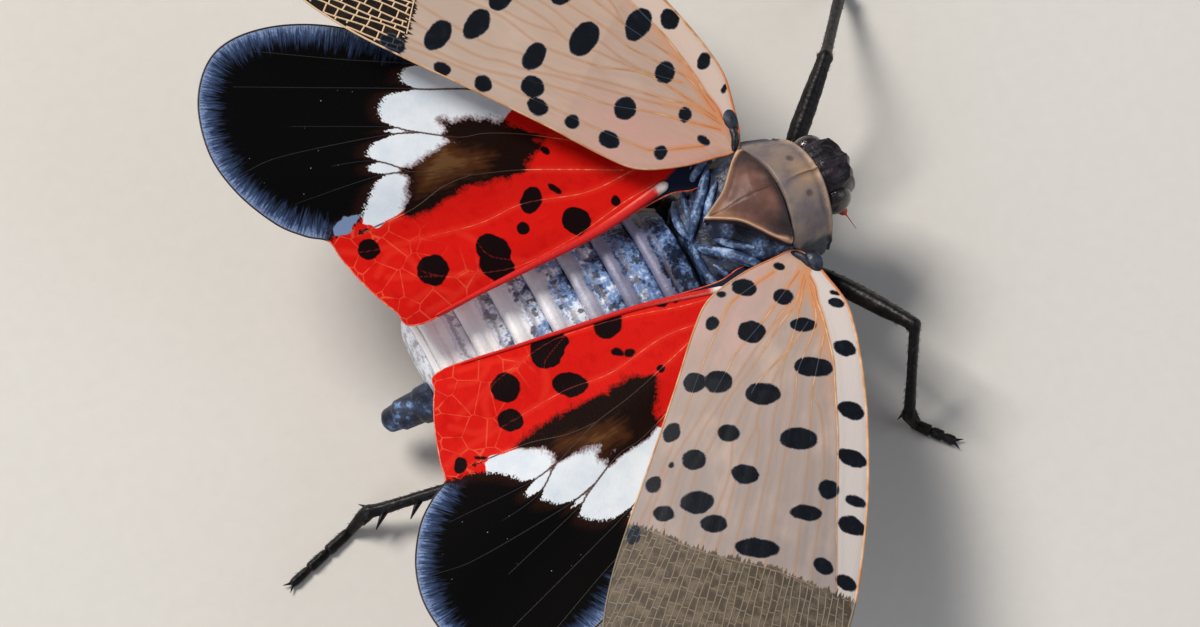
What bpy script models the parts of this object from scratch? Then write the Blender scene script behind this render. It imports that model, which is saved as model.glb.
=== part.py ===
"""A life-size spotted lanternfly with its wings half open, standing on its six feet.

Design frame: +X to the head, +Y to the insect's left, +Z up, floor at z = 0, with the rear tip of the
mesonotum shield over the origin. All nodes hang on one empty, which puts the middle of the whole
model's box over the world origin. Sizes below are in millimetres and become metres in the meshes.
"""

import math

import bmesh
import bpy
from mathutils import Vector
from mathutils.geometry import delaunay_2d_cdt

MM = 0.001
GAP = 0.3

# Body stations: x, half width, lowest z, highest z
THORAX_STATIONS = (
    (-0.55, 1.95, 2.10, 4.90),
    (0.10, 2.15, 1.85, 5.20),
    (1.20, 2.50, 1.70, 5.90),
    (2.60, 2.75, 1.75, 6.25),
    (3.50, 2.35, 2.10, 5.95),
    (4.20, 1.60, 2.70, 5.50),
)
ABDOMEN_STATIONS = (
    (-0.85, 2.30, 1.85, 4.80),
    (-2.20, 2.80, 1.40, 4.90),
    (-4.00, 3.15, 1.00, 4.95),
    (-6.00, 3.30, 0.80, 5.00),
    (-8.00, 3.20, 0.85, 5.00),
    (-9.80, 2.85, 1.10, 4.95),
    (-11.00, 2.35, 1.50, 4.75),
)
THORAX_POWER = 3.0
ABDOMEN_POWER = 2.4
ABDOMEN_SEGMENTS = 8
ABDOMEN_STEP = 0.12
ABDOMEN_BEND = 0.60
ABDOMEN_END_DEPTH = 0.50
BODY_SIDES = 24

# Shield of the mesonotum: half outline from the rear tip to the front, seen from above
SHIELD_HALF = (
    (0.00, 0.00),
    (0.55, 0.30),
    (1.15, 0.68),
    (1.65, 1.22),
    (2.10, 1.72),
    (2.62, 2.08),
    (2.86, 1.40),
    (3.00, 0.70),
    (3.04, 0.00),
)
# Raised bars of the metanotum behind the shield, on the left: they meet near the middle line
METANOTUM_BARS = (
    ((-0.35, 0.10, 4.95), (-0.05, 0.60, 5.15), (0.45, 1.15, 5.40), (1.00, 1.75, 5.35)),
    ((-0.35, 0.10, 4.95), (-0.45, 0.75, 4.85), (-0.35, 1.40, 4.65)),
)
METANOTUM_BAR_RADIUS = 0.26
METANOTUM_BAR_TIP = 0.16
SHIELD_TOP = 7.10
SHIELD_THICK = 0.50
SHIELD_SIDE_FALL = 0.17
SHIELD_TIP_FALL = 0.10

# Pronotum collar: an arched band, given by its arc from side to side
PRONOTUM_REAR_X = 3.36
PRONOTUM_FRONT_X = 4.85
PRONOTUM_TOP = 7.00
PRONOTUM_HALF_WIDTH = 2.80
PRONOTUM_DROP = 2.60
PRONOTUM_THICK = 0.50
PRONOTUM_ARC = 78.0
PRONOTUM_FRONT_FALL = 0.45
PRONOTUM_SIDE_SWEEP = 0.75

# Head, with its eyes, feelers and beak
HEAD_LEAN = 0.12
HEAD_CENTRE = (5.05, 0.0, 5.20)
HEAD_HALF = (1.18, 1.22, 1.45)
EYE_CENTRE = (5.02, 1.12, 5.30)
EYE_HALF = (0.66, 0.50, 0.74)
FEELER_ROOT = (5.25, 0.98, 4.20)
FEELER_OUT = (0.30, 0.85, -0.43)
FEELER_BRISTLE_OUT = (0.25, 0.30, -0.92)
FEELER_SUNK = 0.50
FEELER_KNOB_RADIUS = 0.31
FEELER_KNOB_OUT = 0.42
FEELER_BRISTLE_LENGTH = 1.10
FEELER_RADIUS = 0.25
FEELER_TIP_RADIUS = 0.05
BEAK_PATH = ((5.15, 0.08, 3.60), (4.85, 0.0, 2.40), (3.70, 0.0, 1.35), (1.60, 0.0, 1.02), (-0.60, 0.0, 0.95))
BEAK_RADII = (0.42, 0.36, 0.30, 0.27, 0.12)

# Wing frames: hinge, sweep behind straight out, rise of the tip, pitch of the leading edge (degrees)
FOREWING_HINGE = (2.90, 3.00, 5.90)
FOREWING_TURN = {"left": (38.0, 14.5, 0.0), "right": (42.5, 9.0, 0.0)}
FOREWING_CAMBER = 0.70
FOREWING_CHORD = 9.0
HINDWING_HINGE = (0.70, 2.55, 5.40)
HINDWING_TURN = {"left": (29.5, 13.0, -1.0), "right": (33.7, 9.7, 1.7)}
WING_THICK = 0.50
CAMBER_GROWS_OVER = 6.0
VEIN_HEIGHT = 0.10
VEIN_HALF_WIDTH = 0.20
VEIN_END = 0.60

# Wing outlines in the wing's own plane: u towards the tip, v towards the leading edge
FOREWING_OUTLINE = (
    (-1.10, -0.10),
    (-0.30, 0.00),
    (0.35, 0.60),
    (1.30, 1.66),
    (2.40, 2.28),
    (4.00, 2.95),
    (6.00, 3.62),
    (8.50, 4.28),
    (11.00, 4.72),
    (13.50, 4.95),
    (16.00, 4.78),
    (18.20, 3.95),
    (19.70, 2.45),
    (20.30, 0.60),
    (20.00, -1.10),
    (18.80, -2.60),
    (17.00, -3.45),
    (14.80, -3.72),
    (12.50, -3.70),
    (9.50, -3.56),
    (6.50, -3.46),
    (4.00, -3.42),
    (2.60, -3.20),
    (1.20, -2.30),
    (0.20, -1.35),
    (-0.50, -0.90),
    (-1.10, -0.80),
)
HINDWING_OUTLINE = (
    (-0.90, 0.45),
    (1.00, 0.75),
    (3.50, 0.45),
    (6.50, -0.45),
    (9.50, -1.60),
    (12.00, -2.72),
    (14.00, -3.60),
    (15.60, -4.80),
    (16.65, -6.20),
    (16.85, -7.50),
    (16.20, -9.00),
    (14.80, -10.35),
    (13.20, -10.95),
    (11.40, -11.02),
    (10.20, -10.72),
    (9.38, -10.35),
    (8.60, -10.62),
    (7.20, -11.00),
    (5.90, -11.15),
    (4.85, -10.95),
    (2.90, -7.00),
    (1.20, -3.60),
    (-0.20, -1.00),
    (-0.90, -0.40),
)

# Main veins, raised on both faces of a wing, from the root outwards
FOREWING_VEINS = (
    ((0.9, 0.3), (2.2, 1.0), (4.0, 1.85), (6.0, 2.40), (8.0, 2.92), (10.5, 3.50), (13.5, 4.15), (16.5, 3.90)),
    ((2.4, 0.8), (4.0, 0.75), (6.0, 0.90), (8.5, 1.15), (11.0, 1.40), (14.5, 1.60), (18.6, 1.40)),
    ((3.0, 0.1), (4.6, -0.15), (6.0, -0.65), (8.0, -0.90), (10.0, -0.70), (13.0, -0.60), (18.8, -0.60)),
    ((1.6, 0.0), (3.0, -0.40), (5.0, -0.95), (7.0, -1.55), (9.0, -1.75), (12.0, -1.90), (17.6, -2.10)),
    ((2.0, -0.7), (3.2, -1.15), (5.0, -1.75), (7.0, -2.12), (9.0, -2.60), (11.0, -2.95)),
    ((2.2, -2.2), (4.0, -2.58), (6.0, -2.73), (8.5, -2.90), (11.0, -3.15)),
)
HINDWING_VEINS = (
    ((1.2, -1.6), (1.9, -4.40), (3.3, -7.20), (5.0, -8.80), (6.6, -10.20)),
    ((1.6, -1.1), (2.8, -3.20), (4.3, -4.90), (5.4, -6.70), (7.0, -8.70), (8.3, -10.00)),
    ((2.2, -1.2), (4.0, -3.10), (6.4, -5.10), (8.3, -6.30), (9.8, -8.00), (11.2, -10.20)),
    ((2.6, -0.6), (5.2, -2.50), (7.5, -4.00), (9.8, -5.50), (12.5, -7.40), (14.6, -9.30)),
    ((3.2, -0.2), (6.0, -1.20), (9.2, -3.00), (12.0, -4.80), (15.6, -6.90)),
)
FOLD_ROLL = ((0.40, -0.95), (1.55, -3.85), (2.90, -6.60), (4.05, -9.00), (4.75, -10.40))
FOLD_ROLL_RADII = (0.28, 0.30, 0.30, 0.28, 0.27)

# Legs: hip, trochanter, knee, ankle and toe
LEGS = {
    "foreleg_right": (
        (3.30, -1.20, 2.20), (3.50, -2.35, 2.80), (5.50, -6.50, 4.45), (4.35, -8.55, 0.75), (5.55, -10.05, 0.0)
    ),
    "foreleg_left": (
        (3.60, 0.95, 2.20), (4.45, 1.75, 2.80), (7.65, 4.60, 4.30), (10.30, 8.00, 0.75), (11.60, 9.35, 0.0)
    ),
    "midleg_right": (
        (1.70, -1.50, 2.00), (1.75, -2.85, 2.15), (1.40, -6.60, 3.90), (-1.30, -9.60, 0.75), (-2.60, -11.00, 0.0)
    ),
    "midleg_left": (
        (1.70, 1.50, 2.00), (1.85, 2.85, 2.15), (2.30, 6.50, 3.90), (0.90, 10.10, 0.75), (-0.10, 11.70, 0.0)
    ),
    "hindleg_right": (
        (0.45, -1.50, 2.00), (-0.20, -2.95, 2.10), (-6.60, -4.90, 3.40), (-15.80, -2.55, 0.85), (-19.20, -3.60, 0.0)
    ),
    "hindleg_left": (
        (0.45, 1.50, 2.00), (-0.20, 2.95, 2.10), (-4.20, 5.70, 3.50), (-9.20, 7.80, 0.85), (-11.20, 9.00, 0.0)
    ),
}
HIP_RADIUS = 0.55
THIGH_RADIUS = 0.38
KNEE_RADIUS = 0.32
SHIN_RADIUS = 0.27
FOOT_RADIUS = 0.27
CLAW_RADIUS = 0.14
FOOT_HEIGHT = 0.16
LEG_SIDES = 8
SHIN_SPINE_SHARES = (0.22, 0.40, 0.58, 0.76, 0.90)
SHIN_SPINE_LENGTH = 0.75
SHIN_SPINE_RADIUS = 0.17
CROWN_SPINE_LENGTH = 0.50
CLAW_LENGTH = 0.42
CLAW_SPREAD = 0.55
CLAW_ROOT_RADIUS = 0.11
SPINE_TIP_RADIUS = 0.03
SPINE_SIDES = 5

# End of the abdomen: the short dark tube under the last segment
TAIL_PATH = ((-11.55, -0.35, 2.60), (-12.50, -0.15, 2.15), (-13.40, 0.05, 1.60))
TAIL_RADII = (0.78, 0.62, 0.46)

PARTS = "spotted lanternfly parts"


def place(point):
    """A point in millimetres as a vector in metres."""
    return Vector(point) * MM


def material(name, colour, roughness, metallic=0.0):
    """A plain Principled material."""
    made = bpy.data.materials.new(name)
    made.use_nodes = True
    shader = made.node_tree.nodes["Principled BSDF"]
    shader.inputs["Base Color"].default_value = (*colour, 1.0)
    shader.inputs["Roughness"].default_value = roughness
    shader.inputs["Metallic"].default_value = metallic
    made.diffuse_color = (*colour, 1.0)
    return made


def new_object(name, points, faces, finish=None, smooth=True):
    """An object from points in millimetres and faces, with its normals turned outwards."""
    mesh = bpy.data.meshes.new(name)
    mesh.from_pydata([place(point) for point in points], [], faces)
    work = bmesh.new()
    work.from_mesh(mesh)
    bmesh.ops.recalc_face_normals(work, faces=work.faces)
    work.to_mesh(mesh)
    work.free()
    made = bpy.data.objects.new(name, mesh)
    bpy.context.scene.collection.objects.link(made)
    if finish:
        mesh.materials.append(finish)
    if smooth:
        mesh.shade_smooth()
        mesh.set_sharp_from_angle(angle=math.radians(40))
    return made


def loft(name, rings, finish=None):
    """A closed body through rings of equal count, with a flat cap at each end."""
    count = len(rings[0])
    points = [point for ring in rings for point in ring]
    faces = []
    for row in range(len(rings) - 1):
        for k in range(count):
            a = row * count + k
            b = row * count + (k + 1) % count
            faces.append((a, b, b + count, a + count))
    faces.append(tuple(range(count)))
    faces.append(tuple(len(points) - count + k for k in range(count)))
    return new_object(name, points, faces, finish)


def oval(x, y, half_width, low, high, power, count, grow=0.0):
    """A ring of a superellipse across the body."""
    middle = (low + high) / 2
    across = half_width + grow
    upright = (high - low) / 2 + grow
    ring = []
    for k in range(count):
        angle = 2 * math.pi * k / count
        side = math.copysign(abs(math.cos(angle)) ** (2 / power), math.cos(angle))
        rise = math.copysign(abs(math.sin(angle)) ** (2 / power), math.sin(angle))
        ring.append((x, y + across * side, middle + upright * rise))
    return ring


def between(stations, x):
    """Half width, low and high of the body at x, on a smooth curve through the stations."""
    ordered = sorted(stations)
    if x <= ordered[0][0]:
        return ordered[0][1:]
    if x >= ordered[-1][0]:
        return ordered[-1][1:]
    last = max(k for k in range(len(ordered) - 1) if ordered[k][0] <= x)
    a, b = ordered[last], ordered[last + 1]
    before = ordered[max(last - 1, 0)]
    after = ordered[min(last + 2, len(ordered) - 1)]
    t = (x - a[0]) / (b[0] - a[0])
    values = []
    for k in (1, 2, 3):
        rise_a = (b[k] - before[k]) / max(b[0] - before[0], 0.001) * (b[0] - a[0])
        rise_b = (after[k] - a[k]) / max(after[0] - a[0], 0.001) * (b[0] - a[0])
        values.append(
            (2 * t**3 - 3 * t**2 + 1) * a[k]
            + (t**3 - 2 * t**2 + t) * rise_a
            + (3 * t**2 - 2 * t**3) * b[k]
            + (t**3 - t**2) * rise_b
        )
    return tuple(values)


def smooth_line(points, steps, closed=False):
    """Points on a Catmull-Rom curve through these, with this many steps from each to the next."""
    total = len(points)
    spans = total if closed else total - 1
    line = []
    for k in range(spans):
        if closed:
            p0, p1, p2, p3 = (Vector(points[(k + d) % total]) for d in (-1, 0, 1, 2))
        else:
            p1, p2 = Vector(points[k]), Vector(points[k + 1])
            p0 = Vector(points[k - 1]) if k else 2 * p1 - p2
            p3 = Vector(points[k + 2]) if k + 2 < total else 2 * p2 - p1
        for s in range(steps):
            t = s / steps
            line.append(
                0.5
                * (
                    2 * p1
                    + (p2 - p0) * t
                    + (2 * p0 - 5 * p1 + 4 * p2 - p3) * t**2
                    + (3 * p1 - p0 - 3 * p2 + p3) * t**3
                )
            )
    if not closed:
        line.append(Vector(points[-1]))
    return line


def tube(name, points, radii, sides, finish=None, flat_at=None):
    """A closed tube along points. With flat_at, nothing reaches lower than that height."""
    path = [Vector(point) for point in points]
    side = None
    rings = []
    for k, centre in enumerate(path):
        ahead = path[min(k + 1, len(path) - 1)] - path[max(k - 1, 0)]
        ahead.normalize()
        if side is None:
            side = ahead.cross(Vector((0, 0, 1)))
            if side.length < 0.1:
                side = ahead.cross(Vector((0, 1, 0)))
        side = (side - ahead * side.dot(ahead)).normalized()
        up = side.cross(ahead)
        ring = []
        for n in range(sides):
            angle = 2 * math.pi * (n + 0.5) / sides
            point = centre + (side * math.cos(angle) + up * math.sin(angle)) * radii[k]
            if flat_at is not None:
                point.z = max(point.z, flat_at)
            ring.append(point)
        rings.append(ring)
    return loft(name, rings, finish)


def ball(name, centre, half, finish=None, columns=16, rows=10, grow=0.0):
    """An ellipsoid."""
    points = [(centre[0], centre[1], centre[2] + half[2] + grow)]
    for row in range(1, rows):
        polar = math.pi * row / rows
        for k in range(columns):
            turn = 2 * math.pi * k / columns
            points.append(
                (
                    centre[0] + (half[0] + grow) * math.sin(polar) * math.cos(turn),
                    centre[1] + (half[1] + grow) * math.sin(polar) * math.sin(turn),
                    centre[2] + (half[2] + grow) * math.cos(polar),
                )
            )
    points.append((centre[0], centre[1], centre[2] - half[2] - grow))
    bottom = len(points) - 1
    faces = []
    for k in range(columns):
        following = (k + 1) % columns
        faces.append((0, 1 + k, 1 + following))
        for row in range(rows - 2):
            a = 1 + row * columns
            faces.append((a + k, a + columns + k, a + columns + following, a + following))
        a = 1 + (rows - 2) * columns
        faces.append((a + following, a + k, bottom))
    return new_object(name, points, faces, finish)


def combine(target, others, operation):
    """Joins others to target, or cuts them out of it, keeps the largest body, and removes the others."""
    helpers = bpy.data.collections.new("helpers")
    for other in others:
        bpy.context.scene.collection.objects.unlink(other)
        helpers.objects.link(other)
    bpy.context.scene.collection.children.link(helpers)
    modifier = target.modifiers.new("shape", "BOOLEAN")
    modifier.operation = operation
    modifier.operand_type = "COLLECTION"
    modifier.collection = helpers
    modifier.solver = "EXACT"
    bpy.context.view_layer.update()
    graph = bpy.context.evaluated_depsgraph_get()
    shaped = bpy.data.meshes.new_from_object(target.evaluated_get(graph))
    target.modifiers.clear()
    target.data = shaped
    for other in others:
        bpy.data.objects.remove(other)
    bpy.data.collections.remove(helpers)
    keep_largest(target)
    return target


def keep_largest(target):
    """Leaves only the largest closed surface of an object."""
    work = bmesh.new()
    work.from_mesh(target.data)
    waiting = set(work.verts)
    islands = []
    while waiting:
        island = {waiting.pop()}
        edge = list(island)
        while edge:
            for link in edge.pop().link_edges:
                for vert in link.verts:
                    if vert in waiting:
                        waiting.discard(vert)
                        island.add(vert)
                        edge.append(vert)
        islands.append(island)
    islands.sort(key=size_of_island)
    for island in islands[:-1]:
        bmesh.ops.delete(work, geom=list(island), context="VERTS")
    work.to_mesh(target.data)
    work.free()


def size_of_island(island):
    """Diagonal of the box round a set of vertices."""
    low = Vector([min(vert.co[k] for vert in island) for k in range(3)])
    high = Vector([max(vert.co[k] for vert in island) for k in range(3)])
    return (high - low).length


def body_loft(name, stations, power, finish=None, grow=0.0, steps=9):
    """The thorax, or its grown copy that cuts its neighbours."""
    first, last = stations[-1][0] + grow, stations[0][0] - grow
    rings = []
    for k in range(steps + 1):
        x = first + (last - first) * k / steps
        half_width, low, high = between(stations, x)
        rings.append(oval(x, 0.0, half_width, low, high, power, BODY_SIDES, grow))
    return loft(name, rings, finish)


def bend_at(x):
    """How far the abdomen has bent to the left at x."""
    return ABDOMEN_BEND * (x / ABDOMEN_STATIONS[-1][0]) ** 2


def abdomen(finish):
    """Segments that step up at each rear edge, and a rounded end."""
    front, back = ABDOMEN_STATIONS[0][0], ABDOMEN_STATIONS[-1][0]
    length = (front - back) / ABDOMEN_SEGMENTS
    rings = []
    for segment in range(ABDOMEN_SEGMENTS):
        for share, step in ((0.0, 0.0), (0.30, 0.55), (0.85, 1.0)):
            x = front - (segment + share) * length
            half_width, low, high = between(ABDOMEN_STATIONS, x)
            grow = ABDOMEN_STEP * step
            rings.append(oval(x, bend_at(x), half_width, low, high, ABDOMEN_POWER, BODY_SIDES, grow))
    half_width, low, high = between(ABDOMEN_STATIONS, back)
    for share, shrink in ((0.0, 0.0), (0.55, 0.35), (1.0, 1.0)):
        x = back - ABDOMEN_END_DEPTH * share
        rings.append(oval(x, bend_at(back), half_width, low, high, ABDOMEN_POWER, BODY_SIDES, -shrink))
    return loft("abdomen", rings, finish)


def shield_height(x, y):
    """Top of the mesonotum shield."""
    ridge = SHIELD_TOP - SHIELD_TIP_FALL * (1 - x / SHIELD_HALF[-1][0]) ** 2
    return ridge - SHIELD_SIDE_FALL * y * y


def sheet_solid(name, outline, top, thickness, finish=None, inner=None):
    """A plate over an outline, with its upper face at top(x, y) and its lower face below that."""
    flat = [Vector(point[:2]) for point in outline]
    edge = list(range(len(flat)))
    flat += [Vector(point[:2]) for point in inner or ()]
    edges = [(k, (k + 1) % len(edge)) for k in edge]
    found, _, faces, *_ = delaunay_2d_cdt(flat, edges, [edge], 1, 1e-5)
    upper = [(p.x, p.y, top(p.x, p.y)) for p in found]
    lower = [(p.x, p.y, top(p.x, p.y) - thickness) for p in found]
    return new_object(name, upper + lower, double_skin(faces, len(found)), finish)


def double_skin(faces, count):
    """Faces of an upper skin, the same on a lower skin, and the wall round their edge."""
    walls = {}
    for face in faces:
        for k in range(len(face)):
            a, b = face[k], face[(k + 1) % len(face)]
            if (b, a) in walls:
                del walls[(b, a)]
            else:
                walls[(a, b)] = True
    below = [tuple(count + k for k in reversed(face)) for face in faces]
    return [tuple(face) for face in faces] + below + [(b, a, count + a, count + b) for a, b in walls]


def shield_outline(grow=0.0):
    """The whole outline of the shield, moved out by grow."""
    left = [Vector(point) for point in SHIELD_HALF]
    whole = smooth_line(left, 2) + [Vector((p.x, -p.y)) for p in reversed(smooth_line(left, 2)[1:-1])]
    if not grow:
        return whole
    moved = []
    for k, point in enumerate(whole):
        along = whole[(k + 1) % len(whole)] - whole[k - 1]
        out = Vector((-along.y, along.x)).normalized()
        moved.append(point + out * grow)
    return moved


def shield(finish):
    """The mesonotum's shield plate."""
    inner = [(x, y) for x in (0.9, 1.5, 2.1, 2.6) for y in (-0.9, -0.45, 0.0, 0.45, 0.9) if abs(y) < x * 0.55]
    return sheet_solid("mesonotum", shield_outline(), shield_height, SHIELD_THICK, finish, inner)


def collar_point(share_x, share_arc, outward):
    """A point on the pronotum: share_x runs front to back, share_arc from -1 to 1 side to side."""
    angle = math.radians(PRONOTUM_ARC) * share_arc
    side = abs(share_arc)
    rear = PRONOTUM_REAR_X - 0.55 * side**2 + 0.25 * side
    front = PRONOTUM_FRONT_X - PRONOTUM_SIDE_SWEEP * side**1.6
    x = front + (rear - front) * share_x
    top = PRONOTUM_TOP - PRONOTUM_FRONT_FALL * (1 - share_x) ** 1.5
    half_width = PRONOTUM_HALF_WIDTH - 0.35 * (1 - share_x) + outward
    drop = PRONOTUM_DROP + outward
    y = half_width * math.sin(angle)
    z = top - PRONOTUM_DROP + drop * math.cos(angle)
    return (x, y, z)


def collar(name, finish=None, grow=0.0, columns=20, rows=4):
    """The pronotum: a thick arched band over the front of the thorax."""
    upper = []
    lower = []
    for row in range(rows + 1):
        for column in range(columns + 1):
            share_x = row / rows
            share_arc = 2 * column / columns - 1
            upper.append(collar_point(share_x, share_arc, grow))
            lower.append(collar_point(share_x, share_arc, -PRONOTUM_THICK - grow))
    wide = columns + 1
    faces = [
        (row * wide + k, row * wide + k + 1, (row + 1) * wide + k + 1, (row + 1) * wide + k)
        for row in range(rows)
        for k in range(columns)
    ]
    return new_object(name, upper + lower, double_skin(faces, len(upper)), finish)


class WingFrame:
    """Turns a wing's own u, v into space. Side is 1 on the left and -1 on the right."""

    def __init__(self, hinge, turn, side, camber, chord):
        sweep, rise, pitch = (math.radians(angle) for angle in turn)
        self.mirror = Vector((1, side, 1))
        self.hinge = Vector(hinge)
        out = Vector(
            (-math.sin(sweep) * math.cos(rise), math.cos(sweep) * math.cos(rise), math.sin(rise))
        )
        level = Vector((math.cos(sweep), math.sin(sweep), 0))
        upright = level.cross(out)
        self.out = out
        self.forward = level * math.cos(pitch) + upright * math.sin(pitch)
        self.normal = upright * math.cos(pitch) - level * math.sin(pitch)
        self.camber = camber
        self.chord = chord

    def at(self, u, v, height=0.0):
        """The point over u, v at this height above the wing's middle surface."""
        arch = 1 - (2 * v / self.chord) ** 2
        lift = self.camber * arch * min(max(u / CAMBER_GROWS_OVER, 0), 1)
        point = self.hinge + self.out * u + self.forward * v + self.normal * (lift + height)
        return Vector((point.x, point.y * self.mirror.y, point.z))


def distance_to_line(point, line):
    """Distance from a point to a polyline, and how far the nearest place is from the line's far end."""
    best = None
    run = 0.0
    nearest_run = 0.0
    for a, b in zip(line, line[1:]):
        along = b - a
        share = min(max((point - a).dot(along) / along.length_squared, 0), 1)
        apart = (point - a - along * share).length
        if best is None or apart < best:
            best = apart
            nearest_run = run + share * along.length
        run += along.length
    return best, run - nearest_run


def vein_rise(point, veins):
    """Height of the vein ridges at a point of the wing, which fades at each vein's far end."""
    rise = 0.0
    for line in veins:
        apart, left = distance_to_line(point, line)
        ridge = VEIN_HEIGHT * max(0.0, 1 - apart / VEIN_HALF_WIDTH)
        rise = max(rise, ridge * min(1.0, left / VEIN_END))
    return rise


def vein_edges(veins, first):
    """The three parallel lines of each vein ridge, as points and edges numbered from first."""
    points = []
    edges = []
    for line in veins:
        for offset in (-VEIN_HALF_WIDTH, 0.0, VEIN_HALF_WIDTH):
            start = first + len(points)
            for k, place_here in enumerate(line):
                along = line[min(k + 1, len(line) - 1)] - line[max(k - 1, 0)]
                aside = Vector((-along.y, along.x)).normalized()
                points.append(place_here + aside * offset)
            edges += [(start + k, start + k + 1) for k in range(len(line) - 1)]
    return points, edges


def wing(name, frame, outline, vein_paths, finish, spacing=1.8):
    """A wing of even thickness over its outline, triangulated alike on both faces, with raised veins."""
    flat = [Vector((p.x, p.y)) for p in smooth_line(outline, 2, closed=True)]
    count = len(flat)
    edges = [(k, (k + 1) % count) for k in range(count)]
    veins = [smooth_line(path, 2) for path in vein_paths]
    ridges, ridge_edges = vein_edges(veins, count)
    low = Vector((min(p.x for p in flat), min(p.y for p in flat)))
    high = Vector((max(p.x for p in flat), max(p.y for p in flat)))
    inside = []
    for row in range(int((high.x - low.x) / spacing) + 1):
        for column in range(int((high.y - low.y) / spacing) + 1):
            spot = low + Vector((spacing * (row + 0.5), spacing * (column + 0.5)))
            if min((spot - p).length for p in flat + ridges) > spacing * 0.45:
                inside.append(spot)
    found, _, faces, *_ = delaunay_2d_cdt(
        flat + ridges + inside, edges + ridge_edges, [list(range(count))], 1, 1e-4
    )
    rises = [WING_THICK / 2 + vein_rise(p, veins) for p in found]
    upper = [frame.at(p.x, p.y, rise) for p, rise in zip(found, rises)]
    lower = [frame.at(p.x, p.y, -rise) for p, rise in zip(found, rises)]
    return new_object(name, upper + lower, double_skin(faces, len(found)), finish)


def leg_line(joints):
    """Centre points and radii from hip to toe, with a rounded knee and ankle."""
    hip, trochanter, knee, ankle, toe = (Vector(joint) for joint in joints)
    foot = toe + Vector((0, 0, FOOT_HEIGHT))
    heel = ankle.lerp(foot, 0.16)
    heel.z = FOOT_HEIGHT
    marks = (
        (hip, HIP_RADIUS),
        (hip.lerp(trochanter, 0.80), HIP_RADIUS * 0.92),
        (trochanter, HIP_RADIUS * 0.78),
        (trochanter.lerp(knee, 0.10), THIGH_RADIUS * 0.78),
        (trochanter.lerp(knee, 0.38), THIGH_RADIUS),
        (trochanter.lerp(knee, 0.70), THIGH_RADIUS * 0.92),
        (trochanter.lerp(knee, 0.94), KNEE_RADIUS),
        (knee.lerp(trochanter.lerp(ankle, 0.5), 0.03), KNEE_RADIUS * 1.05),
        (knee.lerp(ankle, 0.06), KNEE_RADIUS * 0.9),
        (knee.lerp(ankle, 0.30), SHIN_RADIUS),
        (knee.lerp(ankle, 0.70), SHIN_RADIUS),
        (knee.lerp(ankle, 0.96), SHIN_RADIUS * 1.15),
        (heel, FOOT_RADIUS),
        (heel.lerp(foot, 0.35), FOOT_RADIUS * 1.05),
        (heel.lerp(foot, 0.42), FOOT_RADIUS * 0.85),
        (heel.lerp(foot, 0.75), FOOT_RADIUS),
        (heel.lerp(foot, 0.84), FOOT_RADIUS * 0.85),
        (foot, CLAW_RADIUS),
    )
    return [mark[0] for mark in marks], [mark[1] for mark in marks]


def spine(root, direction, length, radius):
    """A tapered spine whose root is sunk in the shin."""
    way = Vector(direction).normalized()
    start = Vector(root) - way * radius
    points = [start, start + way * length * 0.5, start + way * length]
    return tube("spine", points, [radius, radius * 0.7, SPINE_TIP_RADIUS], SPINE_SIDES)


def leg_spines(joints, is_hind):
    """Two claws on the foot, and on a hind leg the spines of the shin."""
    knee, ankle, toe = (Vector(joint) for joint in joints[2:])
    toe.z = FOOT_HEIGHT
    ahead = toe - ankle
    ahead.z = 0
    ahead.normalize()
    aside = ahead.cross(Vector((0, 0, 1)))
    made = [
        spine(toe - ahead * 0.1, ahead + aside * CLAW_SPREAD * turn, CLAW_LENGTH, CLAW_ROOT_RADIUS)
        for turn in (1, -1)
    ]
    if is_hind:
        shin = (ankle - knee).normalized()
        outward = shin.cross(Vector((0, 0, 1))).normalized()
        if outward.y * knee.y < 0:
            outward = -outward
        for share in SHIN_SPINE_SHARES:
            root = knee.lerp(ankle, share) + outward * SHIN_RADIUS * 0.6
            made.append(spine(root, outward + shin * 0.8, SHIN_SPINE_LENGTH, SHIN_SPINE_RADIUS))
        for turn in (1, -1):
            root = knee.lerp(ankle, 0.95) + outward * SHIN_RADIUS * 0.5 * turn
            way = outward * 0.7 * turn + shin
            made.append(spine(root, way, CROWN_SPINE_LENGTH, SHIN_SPINE_RADIUS))
    return made


def leg(name, joints, finish):
    """One leg from hip to claws, flat under the foot."""
    points, radii = leg_line(joints)
    body = tube(name, points, radii, LEG_SIDES, finish, flat_at=0.0)
    return combine(body, leg_spines(joints, "hind" in name), "UNION")


def on_head(point, side):
    """The same point on the given side of the head, which leans a little to the left."""
    return (point[0], point[1] * side + HEAD_LEAN, point[2])


def feeler_base(side):
    """Where a feeler leaves the head, and which way."""
    out = Vector((FEELER_OUT[0], FEELER_OUT[1] * side, FEELER_OUT[2])).normalized()
    return Vector(on_head(FEELER_ROOT, side)), out


def feeler(name, side, finish):
    """A knob under the eye with a short bristle that points forward."""
    root, out = feeler_base(side)
    bristle = Vector((FEELER_BRISTLE_OUT[0], FEELER_BRISTLE_OUT[1] * side, FEELER_BRISTLE_OUT[2])).normalized()
    knob = root + out * FEELER_KNOB_OUT
    points = [
        root - out * FEELER_SUNK,
        root,
        root + out * (FEELER_KNOB_OUT * 0.4),
        knob,
        knob + out * FEELER_KNOB_RADIUS * 0.8 + bristle * 0.1,
        knob + out * FEELER_KNOB_RADIUS + bristle * FEELER_BRISTLE_LENGTH * 0.25,
        knob + out * FEELER_KNOB_RADIUS + bristle * FEELER_BRISTLE_LENGTH,
    ]
    radii = [
        FEELER_RADIUS,
        FEELER_RADIUS,
        FEELER_KNOB_RADIUS * 0.95,
        FEELER_KNOB_RADIUS,
        FEELER_RADIUS * 0.9,
        FEELER_RADIUS * 0.4,
        FEELER_TIP_RADIUS,
    ]
    return tube(name, points, radii, LEG_SIDES, finish)


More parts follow.
